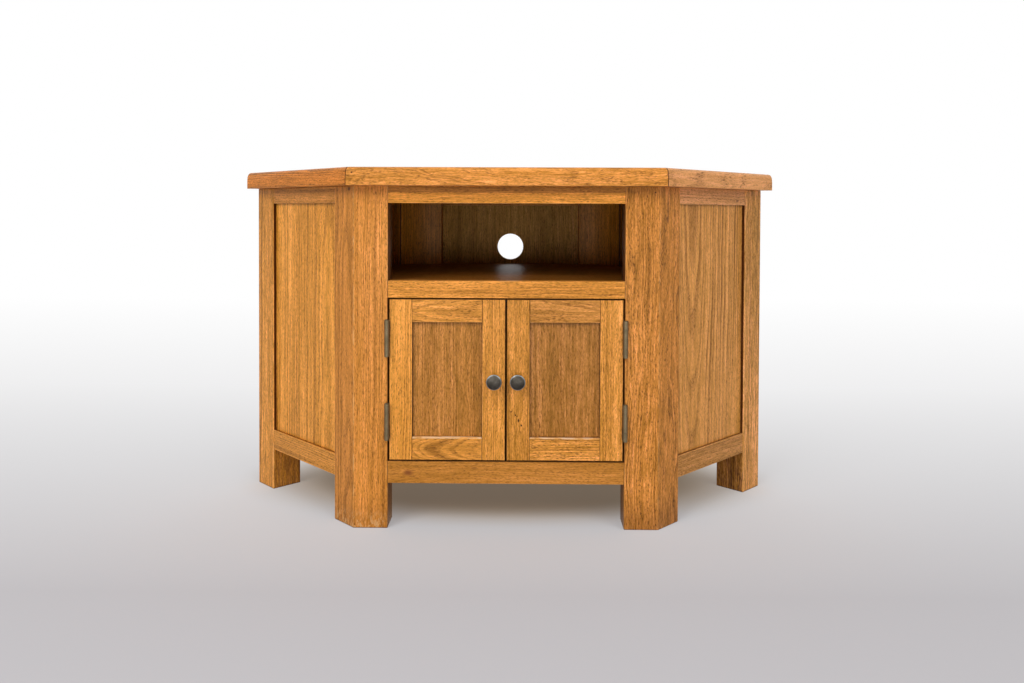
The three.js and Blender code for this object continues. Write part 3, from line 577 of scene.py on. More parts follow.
def oak_material(node, group, settings):
    """Satin-lacquered oak, stained golden. The stain sits dark in the early wood and the pores, and the
    lacquer over it gives a soft sheen."""
    board = boards[node]
    colours = settings.cabinet_oak_colours
    grain = settings.cabinet_oak_grain
    cut = cuts[board["cut"]]
    axes = board_axes(node)
    middle, half = board_extent(node, axes)
    chance = random.Random(node)
    turn = Matrix(axes)
    material = bpy.data.materials.new(f"satin_lacquered_oak_{node}")
    add = node_adder(material)
    across_board = {
        "Vector": add("coordinates").outputs["Object"],
        "Location": -(turn @ middle) / mm,
        "Rotation": turn.to_euler("XYZ"),
        "Scale": (1 / mm, 1 / mm, 1 / mm),
    }
    on_board = add("mapping", across_board)
    side = chance.choice((-1, 1))
    aside, deep = board.get("pith", (side * cut["pith"][0], cut["pith"][1]))
    glued_up = board["face"] == "above"
    # The dark band along a panel's edge, partly painted shade, begins where its groove hides it.
    in_groove = 6.5 if node.endswith("_panel") and not glued_up else -nowhere
    drawn_on = {
        "Place": on_board,
        "Pith": (0, aside + chance.uniform(-4, 4), deep + chance.uniform(-4, 4)),
        "Plank": [chance.uniform(0, 90) for _ in range(3)],
        "Rise": (0, cut["rise"][0], side * cut["rise"][1]),
        "Wander": board.get("wander", cut["wander"]),
        "Ring width": grain.ring_width / mm * board["ring"] * chance.uniform(0.85, 1.2),
        "Stave width": grain.stave_width / mm if glued_up else nowhere,
        "Stave spread": 45 if glued_up else 0,
        "Half size": (half[0] / mm - in_groove, half[1] / mm - in_groove, nowhere),
        "Body": (*[min(1, level * board["shade"]) for level in getattr(colours, board["family"])], 1),
        "Knot": (*board["knot"][:2], 0),
        "Knot size": board["knot"][2],
        "Foot": -half[0] / mm if node.endswith("post") else -nowhere,
    }
    for name in ("Grain", "Pores", "Figure", "Contrast", "Wear", "Scuffs", "Grime"):
        drawn_on[name] = board[name.lower()]
    grown = add("ShaderNodeGroup", drawn_on, node_tree=group).outputs
    shown = grown["Colour"]
    for centre, half_length, half_width, darkness in marks.get(node, []):
        mark_place = turn @ (Vector(centre) - middle / mm)
        from_mark = add("vector subtract", on_board, mark_place)
        by_size = (1 / half_length, 1 / half_width, 1 / mark_depth)
        sizes_off = add("vector length", add("vector multiply", from_mark, by_size))
        dark = add("smooth range", sizes_off, 0.5, 1.4, darkness, 0)
        shown = add("mix colours", {0: dark, 6: shown, 7: (*colours.stain, 1)})
    lacquer = {
        "Base Color": shown,
        "Roughness": grown["Roughness"],
        "Normal": grown["Normal"],
        "IOR": 1.5,
        "Specular IOR Level": grain.lacquer_gloss * board["gloss"],
    }
    shader = add("ShaderNodeBsdfPrincipled", lacquer)
    add("ShaderNodeOutputMaterial", {"Surface": shader})
    return material


# A face looks a certain way if the cosine of the angle to it is over this.
nearly_parallel = 0.9

# Corners this close are one corner, faces this nearly level with each other are one face, and an edge with a
# sharper turn than this is an arris.
corner_distance = 0.002 * mm
flat_angle = math.radians(0.6)
arris_angle = math.radians(20)

# How far off a point may be that counts as level with another, in a plane, behind a board's outer face, at
# the depth of a reveal, or at its edge
level_slack = 0.001 * mm
plane_slack = 0.03 * mm
outer_slack = 0.05 * mm
depth_slack = 0.1 * mm
edge_slack = 0.8 * mm

# Values of the attribute "stained", the share of dark colour on a face. In a joint it is the
# joint's own dark, in a reveal or on a sill gathered finish and painted shade, under the top a painted
# shadow, and elsewhere painted shade. `catching_light` marks a ledge for a painted highlight. The first
# two also say how an arris beside such a face is finished.
catching_light = 0.125
shade_in_the_gap = 0.75
shade_beside_the_gap = 0.6
in_a_joint = 0.95
stain_and_shade_in_a_reveal = 0.9
stain_and_shade_on_a_sill = 0.3
shadow_under_the_top = 0.42
shade_in_the_bay = 0.8
shade_at_a_foot = 0.6
shade_beside_rear_panel = 0.9
shade_beside_right_panel = 0.35

# Values of the attributes "streaked" and "worn"
left_streaks = 0.6
right_streaks = 0.85
half_worn = 0.5
# This value of "worn" gives the ledges under the doors' panels a painted highlight.
ledge_highlight_level = 7


def looks(face, way):
    """Whether a face looks a certain way."""
    return face.normal.dot(way) > nearly_parallel


def merged_copy(node):
    """A CAD node's solid with its loose triangles joined and its flat faces made whole."""
    solid = bmesh.new()
    solid.from_mesh(frame["nodes"][node].data)
    bmesh.ops.remove_doubles(solid, verts=solid.verts, dist=corner_distance)
    bmesh.ops.dissolve_limit(solid, angle_limit=flat_angle, verts=solid.verts, edges=solid.edges)
    return solid


def divide_faces(solid, place, normal=up):
    """Divides a solid's faces where a plane crosses them."""
    parts = [*solid.verts, *solid.edges, *solid.faces]
    bmesh.ops.bisect_plane(solid, geom=parts, dist=level_slack, plane_co=place, plane_no=normal)


def rounded_off(solid, edges, width, segments):
    """Rounds edges off, and gives the new faces."""
    made = bmesh.ops.bevel(solid, geom=edges, offset=width, segments=segments, profile=0.5, affect="EDGES")
    return made["faces"]


def outer_faces(solid):
    """The faces that have the whole solid behind them."""
    points = [vertex.co for vertex in solid.verts]
    found = set()
    for face in solid.faces:
        reach = face.verts[0].co.dot(face.normal) + outer_slack
        if all(point.dot(face.normal) <= reach for point in points):
            found.add(face)
    return found


def in_a_plane(edge, planes):
    """Whether an edge lies in one of the planes."""
    for point, normal in planes:
        if all(abs((vertex.co - point).dot(normal)) < plane_slack for vertex in edge.verts):
            return True
    return False


def eased(solid, width, segments, joints=()):
    """Rounds the arrises between outer faces and those of the joints, and marks the new faces as worn."""
    outer = outer_faces(solid)
    stained = solid.faces.layers.float.get("stained")
    arrises = []
    for edge in solid.edges:
        if len(edge.link_faces) == 2 and edge.calc_face_angle_signed() > arris_angle:
            shown = [face in outer or bool(stained and face[stained]) for face in edge.link_faces]
            if any(face in outer for face in edge.link_faces) and (all(shown) or in_a_plane(edge, joints)):
                arrises.append(edge)
    worn = solid.faces.layers.float.new("worn")
    made = rounded_off(solid, arrises, width, segments)
    beside_gap = set()
    for face in made:
        near = {other for edge in face.edges for other in edge.link_faces}
        if stained and any(other[stained] == shade_in_the_gap for other in near):
            beside_gap.add(face)
    for face in made:
        face[worn] = 1
        if face in beside_gap:
            face[worn] = 0
            face[stained] = shade_beside_the_gap
        elif stained and face[stained] and face[stained] != catching_light:
            face[worn] = half_worn
            face[stained] = 0
    for face in solid.faces:
        if stained and face[stained] == catching_light:
            # The ledge under a door's panel gets a painted highlight, pale as where light catches it.
            face[worn] = ledge_highlight_level
            face[stained] = 0
    return solid


# How far the top's edges stand out over the walls below them, as in the CAD model
front_overhang = 0.023
rear_overhang = 0.003


def inside_top(point):
    """Whether a point lies within the top's outline."""
    for wall in wall_names:
        start, _, out = wall_axes(wall)
        overhang = rear_overhang if "rear" in wall or wall == "back" else front_overhang
        if (point - start).dot(out) > overhang:
            return False
    return True


def joint_planes(solid):
    """The planes in which one of the top's boards meets its neighbours."""
    planes = []
    for face in outer_faces(solid):
        middle = face.calc_center_median()
        if abs(face.normal.z) < 0.01 and inside_top(middle + face.normal * mm):
            planes.append((middle, face.normal.copy()))
    return planes


def darken_joints(solid, planes, width):
    """Fills the eased arrises of the top's joints with stain."""
    worn = solid.faces.layers.float["worn"]
    stained = solid.faces.layers.float["stained"]
    for face in solid.faces:
        if not face[worn]:
            continue
        middle = face.calc_center_median()
        for point, normal in planes:
            if face.normal.dot(normal) > -0.15 and abs((middle - point).dot(normal)) < width * 1.1:
                face[worn] = 0
                face[stained] = in_a_joint


# The rounded edge of the top: its size as in the CAD model, and the small ledge that the cutter left under it
round_height = 16 * mm
round_depth = 10 * mm
round_start = 0.630 - round_height
ledge_low = 1.4 * mm
ledge_high = 2.1 * mm
ledge_depth = 0.7 * mm
round_levels = [ledge_low, ledge_high, 6 * mm, 9.8 * mm, 12.7 * mm, 14.7 * mm, 15.7 * mm]
corner_slack = 0.4 * mm
clear_of_end = 0.01 * mm
sliver_width = 0.06 * mm


def moulded_depth(height):
    """How far in the moulded edge is, at a height over the flat below it."""
    if height <= ledge_low:
        return 0
    if height < ledge_high:
        return ledge_depth * (height - ledge_low) / (ledge_high - ledge_low)
    share_up = min(1, (height - ledge_high) / (round_height - ledge_high))
    return ledge_depth + (round_depth - ledge_depth) * (1 - math.sqrt(1 - share_up**3))


def mould_edge(solid, wall):
    """Gives a border's edge its full shape: a ledge, and over it a round that is fuller at the top."""
    for height in round_levels:
        divide_faces(solid, (0, 0, round_start + height))
    start, _, out = wall_axes(wall)
    number = wall_names.index(wall)
    neighbours = [wall_axes(wall_names[number - 1]), wall_axes(wall_names[(number + 1) % len(wall_names)])]
    for vertex in solid.verts:
        height = vertex.co.z - round_start
        if not clear_of_end < height < round_height - clear_of_end:
            continue
        plain = round_depth * (1 - math.sqrt(1 - (height / round_height) ** 2))
        depth = front_overhang - (vertex.co - start).dot(out)
        if not plain - outer_slack < depth < plain + corner_slack:
            continue
        way = out
        for next_start, _, next_out in neighbours:
            next_depth = front_overhang - (vertex.co - next_start).dot(next_out)
            if abs(next_depth - depth) < corner_slack:
                way = (out + next_out) / (1 + out.dot(next_out))
        vertex.co -= way * (moulded_depth(height) - depth)
    # The new levels leave slivers of no width along the mitres.
    bmesh.ops.dissolve_degenerate(solid, dist=sliver_width, edges=solid.edges)


# The cable hole, as in the CAD model, and how far its rim is eased
hole_radius = 0.030
hole_height = 0.4725
hole_easing = 0.0015
rim_slack = 0.2 * mm


def soften_hole(solid):
    """Eases the rim of the cable hole, front and back."""
    rim = []
    for edge in solid.edges:
        reaches = [math.hypot(vertex.co.x, vertex.co.z - hole_height) for vertex in edge.verts]
        level = abs(edge.verts[0].co.y - edge.verts[1].co.y) < level_slack
        if level and all(abs(reach - hole_radius) < rim_slack for reach in reaches):
            rim.append(edge)
    rounded_off(solid, rim, hole_easing, 3)


# Each panel's window: the wall that it is seen through, how deep the panel's face lies, and how far its edge
# goes into the groove. `reveal_front` is where the frame's eased arris ends.
reveal_front = 1 * mm
windows = {f"{wall}_panel": (wall, 7 * mm, 7.7 * mm) for wall in wall_names[1:]}
windows.update({f"{hand}_door_panel": ("front", 8 * mm, 6.7 * mm) for hand in sides})

# Heights and depths of the carcass and the doors, as in the CAD model
bottom_rails_bottom = 0.079
doors_bottom = 0.118
doors_top = 0.403
shelf_top = 0.433
top_rails_bottom = 0.568
door_thickness = 0.018
back_post_thickness = 0.050

# The top rail has a painted shadow over this height under the top, a door's bottom rail is chamfered
# this wide under its panel, and the shadow line is the band of a back post that shows beside a rear
# panel, painted dark as shade.
band_bottom = 0.5865
ledge_chamfer = 0.0019
shadow_line = 0.0045

# The faces in the doors' gap lie within this of a door's ends, and no further behind its back.
near_door_end = 4 * mm
behind_door = 2 * mm


def mark_gap_faces(solid, node):
    """Darkens the faces in the gap round the doors, and the top rail's face under the top."""
    stained = solid.faces.layers.float["stained"]
    if node == "front_top_rail":
        divide_faces(solid, (0, 0, band_bottom))
        for face in solid.faces:
            if looks(face, Vector((0, -1, 0))) and face.calc_center_median().z > band_bottom:
                face[stained] = shadow_under_the_top
    for face in solid.faces:
        middle = face.calc_center_median()
        too_deep = middle.y > setback + door_thickness + behind_door
        if abs(face.normal.y) > 0.1 or face[stained] or too_deep:
            continue
        over_door = node == "front_shelf_rail" and looks(face, -up)
        under_door = node == "front_bottom_rail" and looks(face, up)
        at_end = not doors_bottom + near_door_end < middle.z < doors_top - near_door_end
        end_of_door = at_end and abs(face.normal.z) > nearly_parallel
        side_of_door = node.endswith("_stile") and abs(face.normal.x) > nearly_parallel
        if over_door or under_door or ("_door_" in node and (end_of_door or side_of_door)):
            face[stained] = shade_in_the_gap


def chamfer_ledge(solid):
    """Takes off the arris of a door's bottom rail under the panel."""
    stained = solid.faces.layers.float["stained"]
    arrises = []
    for ledge in [face for face in solid.faces if face[stained] == catching_light]:
        for edge in ledge.edges:
            if all(abs(vertex.co.y - setback - reveal_front) < depth_slack for vertex in edge.verts):
                arrises.append(edge)
    for face in rounded_off(solid, arrises, ledge_chamfer, 3):
        face[stained] = catching_light


def mark_inner_faces(solid, node):
    """Darkens the posts' faces in the bay, in the doors' gap and at the feet, where stain lies thicker."""
    stained = solid.faces.layers.float["stained"]
    streaked = solid.faces.layers.float.new("streaked")
    on_left = "left" in node
    if node.startswith("front"):
        for level in (bottom_rails_bottom, doors_bottom, doors_top, shelf_top, top_rails_bottom):
            divide_faces(solid, (0, 0, level))
        for face in solid.faces:
            middle = face.calc_center_median()
            if middle.x * face.normal.x < -0.1:
                if shelf_top < middle.z < top_rails_bottom:
                    face[stained] = shade_in_the_bay
                elif doors_bottom < middle.z < doors_top:
                    face[stained] = shade_in_the_gap
                elif middle.z < bottom_rails_bottom:
                    face[stained] = shade_at_a_foot
    elif node.startswith("back"):
        start, along, out = wall_axes("left_rear" if on_left else "right_rear")
        shadow_depth = back_post_thickness - shadow_line
        divide_faces(solid, start - out * shadow_depth, out)
        for face in solid.faces:
            depth = (start - face.calc_center_median()).dot(out)
            if looks(face, along if on_left else -along) and depth > shadow_depth:
                face[stained] = shade_beside_rear_panel
    else:
        _, along, _ = wall_axes("left_side" if on_left else "right_side")
        for face in solid.faces:
            if looks(face, along if on_left else -along) and not face[stained]:
                face[stained] = 0 if on_left else shade_beside_right_panel
                face[streaked] = left_streaks if on_left else right_streaks


def mark_reveals(solid, node):
    """Marks the narrow faces round a panel, where stain gathers."""
    stained = solid.faces.layers.float.new("stained")
    for panel, (wall, panel_depth, groove) in windows.items():
        start, along, out = wall_axes(wall)
        points = [vertex.co for vertex in frame["nodes"][panel].data.vertices]
        reach = [(point - start).dot(along) for point in points]
        left, right = min(reach) + groove, max(reach) - groove
        low = min(point.z for point in points) + groove
        high = max(point.z for point in points) - groove
        if node.endswith(("_post", "_stile")):
            divide_faces(solid, (0, 0, low))
            divide_faces(solid, (0, 0, high))
        for face in solid.faces:
            middle = face.calc_center_median() - start
            x = middle.dot(along)
            if not reveal_front - depth_slack < -middle.dot(out) < panel_depth + depth_slack:
                continue
            at_side = min(abs(x - left), abs(x - right)) < edge_slack
            beside = at_side and abs(face.normal.dot(along)) > nearly_parallel
            above = abs(middle.z - high) < edge_slack and looks(face, -up)
            below = abs(middle.z - low) < edge_slack and looks(face, up)
            if beside or above:
                face[stained] = stain_and_shade_in_a_reveal
            elif below:
                face[stained] = catching_light if "door" in node else stain_and_shade_on_a_sill


def placed(name, data):
    """A new object in the scene."""
    made = bpy.data.objects.new(name, data)
    bpy.context.scene.collection.objects.link(made)
    return made


def mesh_from(name, solid):
    """A mesh made from a bmesh, which is then done with."""
    mesh = bpy.data.meshes.new(name)
    solid.to_mesh(mesh)
    solid.free()
    return mesh


def new_piece(name, solid, body, material, smooth_under=35):
    """Turns a bmesh into a shown piece that rides on a body."""
    mesh = mesh_from(name, solid)
    mesh.polygons.foreach_set("use_smooth", [True] * len(mesh.polygons))
    mesh.set_sharp_from_angle(angle=math.radians(smooth_under))
    mesh.materials.append(material)
    piece = placed(name, mesh)
    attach(piece, body)
    return piece


def weigh_normals(piece):
    """Keeps large flat faces flat beside the rounded arrises."""
    modifier = piece.modifiers.new("flat faces", "WEIGHTED_NORMAL")
    modifier.weight = 50
    modifier.keep_sharp = True


def make_boards(context, nodes, easing):
    """Makes the named boards from their CAD solids, eased and in lacquered oak."""
    scene = context.scene
    width = getattr(scene.cabinet_edges, easing)
    group = bpy.data.node_groups.get("lacquered_oak_grain")
    if group is None:
        group = oak_grain_group(scene.cabinet_oak_colours, scene.cabinet_oak_grain)
    for node in nodes:
        solid = merged_copy(node)
        mark_reveals(solid, node)
        if node.endswith("_post"):
            mark_inner_faces(solid, node)
        elif node.startswith("front_") or "_door_" in node:
            mark_gap_faces(solid, node)
        if node.endswith("door_bottom_rail"):
            chamfer_ledge(solid)
        if node.endswith("_border"):
            mould_edge(solid, boards[node]["face"])
        if node == "back_panel":
            soften_hole(solid)
        joints = joint_planes(solid) if node.startswith("top_") else []
        eased(solid, width, scene.cabinet_edges.segments, joints)
        darken_joints(solid, joints, width)
        material = oak_material(node, group, scene)
        body = frame["nodes"][node]["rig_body"]
        piece = new_piece(f"{node}_wood", solid, body, material)
        weigh_normals(piece)
        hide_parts(node)
    return {"FINISHED"}


class MakeTop(bpy.types.Operator):
    """Makes the top's panel and its three mitred borders"""

    bl_idname = "cabinet.make_top"
    bl_label = "Top"

    def execute(self, context):
        return make_boards(context, [node for node in boards if node.startswith("top_")], "top")


class MakePosts(bpy.types.Operator):
    """Makes the six posts"""

    bl_idname = "cabinet.make_posts"
    bl_label = "Posts"

    def execute(self, context):
        return make_boards(context, [node for node in boards if node.endswith("_post")], "post")


class MakeRails(bpy.types.Operator):
    """Makes the rails between the posts"""

    bl_idname = "cabinet.make_rails"
    bl_label = "Rails"

    def execute(self, context):
        nodes = [node for node in boards if node.endswith("_rail") and "_door_" not in node]
        return make_boards(context, nodes, "board")


class MakePanels(bpy.types.Operator):
    """Makes the panels of the sides, the rear walls and the back"""

    bl_idname = "cabinet.make_panels"
    bl_label = "Panels"

    def execute(self, context):
        return make_boards(context, [f"{wall}_panel" for wall in wall_names[1:]], "fitting")


class MakeShelfAndFloor(bpy.types.Operator):
    """Makes the shelf, the floor board and the catch's block"""

    bl_idname = "cabinet.make_shelf_and_floor"
    bl_label = "Shelf and floor"

    def execute(self, context):
        return make_boards(context, ["shelf_board", "floor_board", "catch_block"], "top")


class MakeDoors(bpy.types.Operator):
    """Makes the stiles, rails and panels of both doors"""

    bl_idname = "cabinet.make_doors"
    bl_label = "Doors"

    def execute(self, context):
        return make_boards(context, [node for node in boards if "_door_" in node], "board")


def tarnished_metal(name, bright, dull, roughness, patch, grit, rubbed=None):
    """A metal whose surface is tarnished in patches of the size `patch`. `grit` is that of its finest marks,
    and `rubbed` the colour where the attribute "rubbed" says that the tarnish has gone."""
    material = bpy.data.materials.new(name)
    add = node_adder(material)
    place = add("coordinates").outputs["Object"]
    scaled = add("mapping", {"Vector": place, "Scale": (1 / mm, 1 / mm, 1 / mm)})
    patches = add("noise", {"Vector": scaled, "Scale": mm / patch, "Detail": 3})
    fine_marks = add("noise", {"Vector": scaled, "Scale": mm / grit, "Detail": 2})
    tarnish = add("range", patches, 0.35, 0.65, 0, 1)
    tint = add("mix colours", {0: tarnish, 6: (*bright, 1), 7: (*dull, 1)})
    if rubbed:
        handled = add("ShaderNodeAttribute", attribute_name="rubbed").outputs["Fac"]
        tint = add("mix colours", {0: handled, 6: tint, 7: (*rubbed, 1)})
    rough = add("range", patches, 0.3, 0.7, roughness - 0.07, roughness + 0.1)
    relief = {"Strength": 0.35, "Distance": 0.05 * mm, "Height": fine_marks}
    bump = add("ShaderNodeBump", relief)
    metal = {"Base Color": tint, "Metallic": 1, "Roughness": rough, "Normal": bump}
    shader = add("ShaderNodeBsdfPrincipled", metal)
    add("ShaderNodeOutputMaterial", {"Surface": shader})
    return material


def metal_named(name, metals):
    """The cabinet's metals, each made once."""
    found = bpy.data.materials.get(name)
    if found:
        return found
    if name == "cast_pewter":
        # Cast and waxed dark: a soft broad highlight over a brown-grey tarnish, and a rim painted bright,
        # partly worn clear of tarnish and partly a painted highlight.
        rim = metals.pewter_rim_highlight
        return tarnished_metal(name, metals.pewter, metals.pewter_patina, 0.4, 14 * mm, 0.6 * mm, rim)
    if name == "antique_plated_steel":
        # Pressed steel plated and relieved: even, dull, a little brown.
        return tarnished_metal(name, metals.hinge, metals.hinge_patina, 0.55, 16 * mm, 0.4 * mm)
    # Rolled steel with a thin bright zinc plate.
    dull_zinc = [level * 0.75 for level in metals.steel]
    return tarnished_metal(name, metals.steel, dull_zinc, 0.3, 5 * mm, 0.3 * mm)


def moulded_plastic(tint):
    """Injection-moulded brown plastic with the fine spark-eroded texture of its mould."""
    material = bpy.data.materials.new("moulded_brown_plastic")
    add = node_adder(material)
    place = add("coordinates").outputs["Object"]
    scaled = add("mapping", {"Vector": place, "Scale": (1 / mm, 1 / mm, 1 / mm)})
    speckle = add("noise", {"Vector": scaled, "Scale": 1 / 0.4, "Detail": 2})
    darker, lighter = [(*[level * change for level in tint], 1) for change in (0.85, 1.15)]
    speckled = add("mix colours", {0: speckle, 6: darker, 7: lighter})
    rough = add("range", speckle, 0, 1, 0.42, 0.6)
    bump = add("ShaderNodeBump", {"Strength": 0.3, "Distance": 0.05 * mm, "Height": speckle})
    plastic = {"Base Color": speckled, "Roughness": rough, "Normal": bump, "IOR": 1.53}
    shader = add("ShaderNodeBsdfPrincipled", plastic)
    add("ShaderNodeOutputMaterial", {"Surface": shader})
    return material


def turned_solid(profile, steps, start, axis):
    """A closed turned shape. `profile` runs from the axis to the axis as radius and distance along it."""
    side = axis.orthogonal().normalized()
    other = axis.cross(side)
    solid = bmesh.new()
    rings = []
    for radius, distance in profile:
        centre = start + axis * distance
        if radius == 0:
            rings.append([solid.verts.new(centre)])
            continue
        ring = []
        for step in range(steps):
            angle = math.tau * step / steps
            ring.append(solid.verts.new(centre + (side * math.cos(angle) + other * math.sin(angle)) * radius))
        rings.append(ring)
    for lower, upper in zip(rings, rings[1:]):
        for step in range(steps):
            following = (step + 1) % steps
            corners = [lower[step % len(lower)], lower[following % len(lower)]]
            corners += [upper[following % len(upper)], upper[step % len(upper)]]
            corners = list(dict.fromkeys(corners))
            if len(corners) > 2:
                solid.faces.new(corners)
    bmesh.ops.recalc_face_normals(solid, faces=solid.faces)
    return solid


def quarter_round(radius_at, distance_at, radius, start_angle, turn, steps=6):
    """Points of a quarter circle in a profile, about a centre at `radius_at`, `distance_at`."""
    points = []
    for step in range(steps + 1):
        angle = start_angle + turn * step / steps
        points.append((radius_at + radius * math.cos(angle), distance_at + radius * math.sin(angle)))
    return points


# The knob's foot with its bead, and its neck from there to the lip, in millimetres as radius and distance
# from the door
foot_radius = 7.6 * mm
bead_middle = (7.2 * mm, 1.1 * mm)
bead_radius = 0.8 * mm
knob_neck = [(6.0, 3.2), (5.5, 5.4), (5.4, 8.0), (5.9, 10.2), (7.4, 12.4), (9.8, 14.5), (12.0, 16.0)]


def knob_profile(outer, reach, knobs):
    """A knob from its base on the door to the middle of its domed face."""
    lip = knobs.lip
    lip_top = reach - knobs.dome
    lip_radius = outer - lip
    profile = [(0, 0), (foot_radius, 0)]
    profile += quarter_round(*bead_middle, bead_radius, -math.pi / 3, math.pi * 5 / 6)
    profile += [(radius * mm, distance * mm) for radius, distance in knob_neck]
    profile += quarter_round(lip_radius, lip_top - 1.6 * lip, lip, -math.pi / 4, math.pi / 4, 4)
    profile += quarter_round(lip_radius, lip_top - lip, lip, 0, math.pi * 0.42, 6)
    edge_radius, edge_height = profile[-1]
    rise = reach - edge_height
    for step in range(1, 12):
        angle = math.pi / 2 * step / 12
        profile.append((edge_radius * math.cos(angle), edge_height + rise * math.sin(angle) ** 1.6))
    profile.append((0, reach))
    return profile


class MakeKnobs(bpy.types.Operator):
    """Makes the two turned knobs and their screws"""

    bl_idname = "cabinet.make_knobs"
    bl_label = "Knobs"

    def execute(self, context):
        scene = context.scene
        knobs = scene.cabinet_knobs
        pewter = metal_named("cast_pewter", scene.cabinet_metals)
        steel = metal_named("zinc_plated_steel", scene.cabinet_metals)
        for hand in sides:
            node = f"{hand}_door_knob"
            low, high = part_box(node)
            middle = (low + high) / 2
            outer = (high.x - low.x) / 2
            start = Vector((middle.x, high.y, middle.z))
            profile = knob_profile(outer, high.y - low.y, knobs)
            solid = turned_solid(profile, knobs.steps, start, Vector((0, -1, 0)))
            # The front of each knob's rim is painted bright all round: partly worn metal, partly a painted
            # highlight.
            rubbed = solid.verts.layers.float.new("rubbed")
            bright_from = outer - 1.1 * knobs.lip
            for vertex in solid.verts:
                reach = math.hypot(vertex.co.x - middle.x, vertex.co.z - middle.z)
                if reach > bright_from and start.y - vertex.co.y > (high.y - low.y) / 2:
                    vertex[rubbed] = min(1, (reach - bright_from) / (0.5 * knobs.lip))
            piece = new_piece(f"{hand}_knob_turned", solid, f"{hand}_door", pewter, 50)
            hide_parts(node)
            screw = f"{hand}_knob_screw"
            solid = eased(merged_copy(screw), scene.cabinet_edges.fitting, 2)
            piece = new_piece(f"{screw}_steel", solid, f"{hand}_door", steel, 50)
            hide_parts(screw)
        return {"FINISHED"}


# The hinges, as in the CAD model
hinge_axis_x = 0.207
hinge_axis_y = setback - 0.0045
barrel_radius = 4.2 * mm
pin_radius = 1.6 * mm
pin_head_height = 0.9 * mm
pin_head_easing = 0.25 * mm


def on_barrel(edge, axis):
    """Whether an edge lies level on the outside of a hinge's barrel."""
    low, high = edge.verts
    if abs(low.co.z - high.co.z) > level_slack:
        return False
    return all(abs((vertex.co.xy - axis).length - barrel_radius) < plane_slack for vertex in edge.verts)


def round_knuckles(solid, axis, hinges):
    """Makes the flats of a leaf's knuckles finer and rounder, and eases the knuckles' ends."""
    arcs = [edge for edge in solid.edges if on_barrel(edge, axis)]
    made = bmesh.ops.subdivide_edges(solid, edges=arcs, cuts=hinges.cuts)
    for part in made["geom_inner"]:
        if isinstance(part, bmesh.types.BMVert):
            outwards = (part.co.xy - axis).normalized() * barrel_radius
            part.co.x, part.co.y = axis + outwards
    ends = []
    for edge in solid.edges:
        if on_barrel(edge, axis) and any(abs(face.normal.z) > nearly_parallel for face in edge.link_faces):
            ends.append(edge)
    rounded_off(solid, ends, hinges.knuckle_easing, 2)


def pin_solid(node, steps):
    """A hinge pin with a button head at each end."""
    low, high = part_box(node)
    reach = high.z - low.z
    head = (high.x - low.x) / 2
    edge = pin_head_easing
    half = [(0, 0), (head - edge, 0), (head, edge), (head, pin_head_height - edge)]
    half += [(head - edge, pin_head_height), (pin_radius, pin_head_height)]
    profile = half + [(radius, reach - distance) for radius, distance in reversed(half)]
    middle = (low + high) / 2
    return turned_solid(profile, steps, Vector((middle.x, middle.y, low.z)), up)


class MakeHinges(bpy.types.Operator):
    """Makes the leaves and pins of the four butt hinges"""

    bl_idname = "cabinet.make_hinges"
    bl_label = "Hinges"

    def execute(self, context):
        scene = context.scene
        hinges = scene.cabinet_hinges
        plated = metal_named("antique_plated_steel", scene.cabinet_metals)
        nodes = [node for node in frame["nodes"] if "_hinge_" in node and node.endswith(("_leaf", "_pin"))]
        for node in nodes:
            if node.endswith("_pin"):
                solid = pin_solid(node, hinges.pin_steps)
            else:
                side = -1 if node.startswith("left") else 1
                solid = merged_copy(node)
                round_knuckles(solid, Vector((side * hinge_axis_x, hinge_axis_y)), hinges)
            body = frame["nodes"][node]["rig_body"]
            piece = new_piece(f"{node}_plated", solid, body, plated, 40)
            weigh_normals(piece)
            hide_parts(node)
        return {"FINISHED"}


# Where the screws are, as in the CAD model
leaf_screw_shares = (0.16, 0.5, 0.84)
leaf_screw_stagger = 2.38 * mm
leaf_middle_y = setback + 9 * mm
frame_leaf_face_x = hinge_axis_x - 1.9 * mm
door_leaf_face_x = hinge_axis_x - 2.6 * mm
strike_screw = Vector((0.012, setback + 20.2 * mm, 0.390))


# A screw's point, the straight rim of its head, the reach of its cross slot as a share of the head's radius,
# and the faces round it
screw_point = 3 * mm
screw_rim = 0.15 * mm
slot_share = 0.62
screw_steps = 24


def screw_solid(screws, reach):
    """A countersunk screw with a cross slot. The middle of its head is at the origin and faces +Z."""
    head, shank = screws.head_radius, screws.shank_radius
    profile = [(head, 0), (head, -screw_rim), (shank, -screws.head_height)]
    profile += [(shank, screw_point - reach), (0, -reach)]
    solid = turned_solid(profile, screw_steps, Vector(), up)
    rim = [edge for edge in solid.edges if len(edge.link_faces) == 1]
    arm, half = head * slot_share, screws.slot_width / 2
    corners = []
    for turns in range(4):
        spin = Matrix.Rotation(math.pi / 2 * turns, 2)
        corners += [spin @ Vector(corner) for corner in ((arm, -half), (arm, half), (half, half))]
    mouth = [solid.verts.new((*corner, 0)) for corner in corners]
    bottom = [solid.verts.new((*corner, -screws.slot_depth)) for corner in corners]
    for number, corner in enumerate(mouth):
        following = (number + 1) % len(mouth)
        rim.append(solid.edges.new((corner, mouth[following])))
        solid.faces.new((corner, mouth[following], bottom[following], bottom[number]))
    bmesh.ops.triangle_fill(solid, use_beauty=True, edges=rim)
    solid.faces.new(bottom[2::3])
    for first in range(0, 12, 3):
        solid.faces.new((bottom[first - 1], *bottom[first : first + 3]))
    bmesh.ops.recalc_face_normals(solid, faces=solid.faces)
    return solid


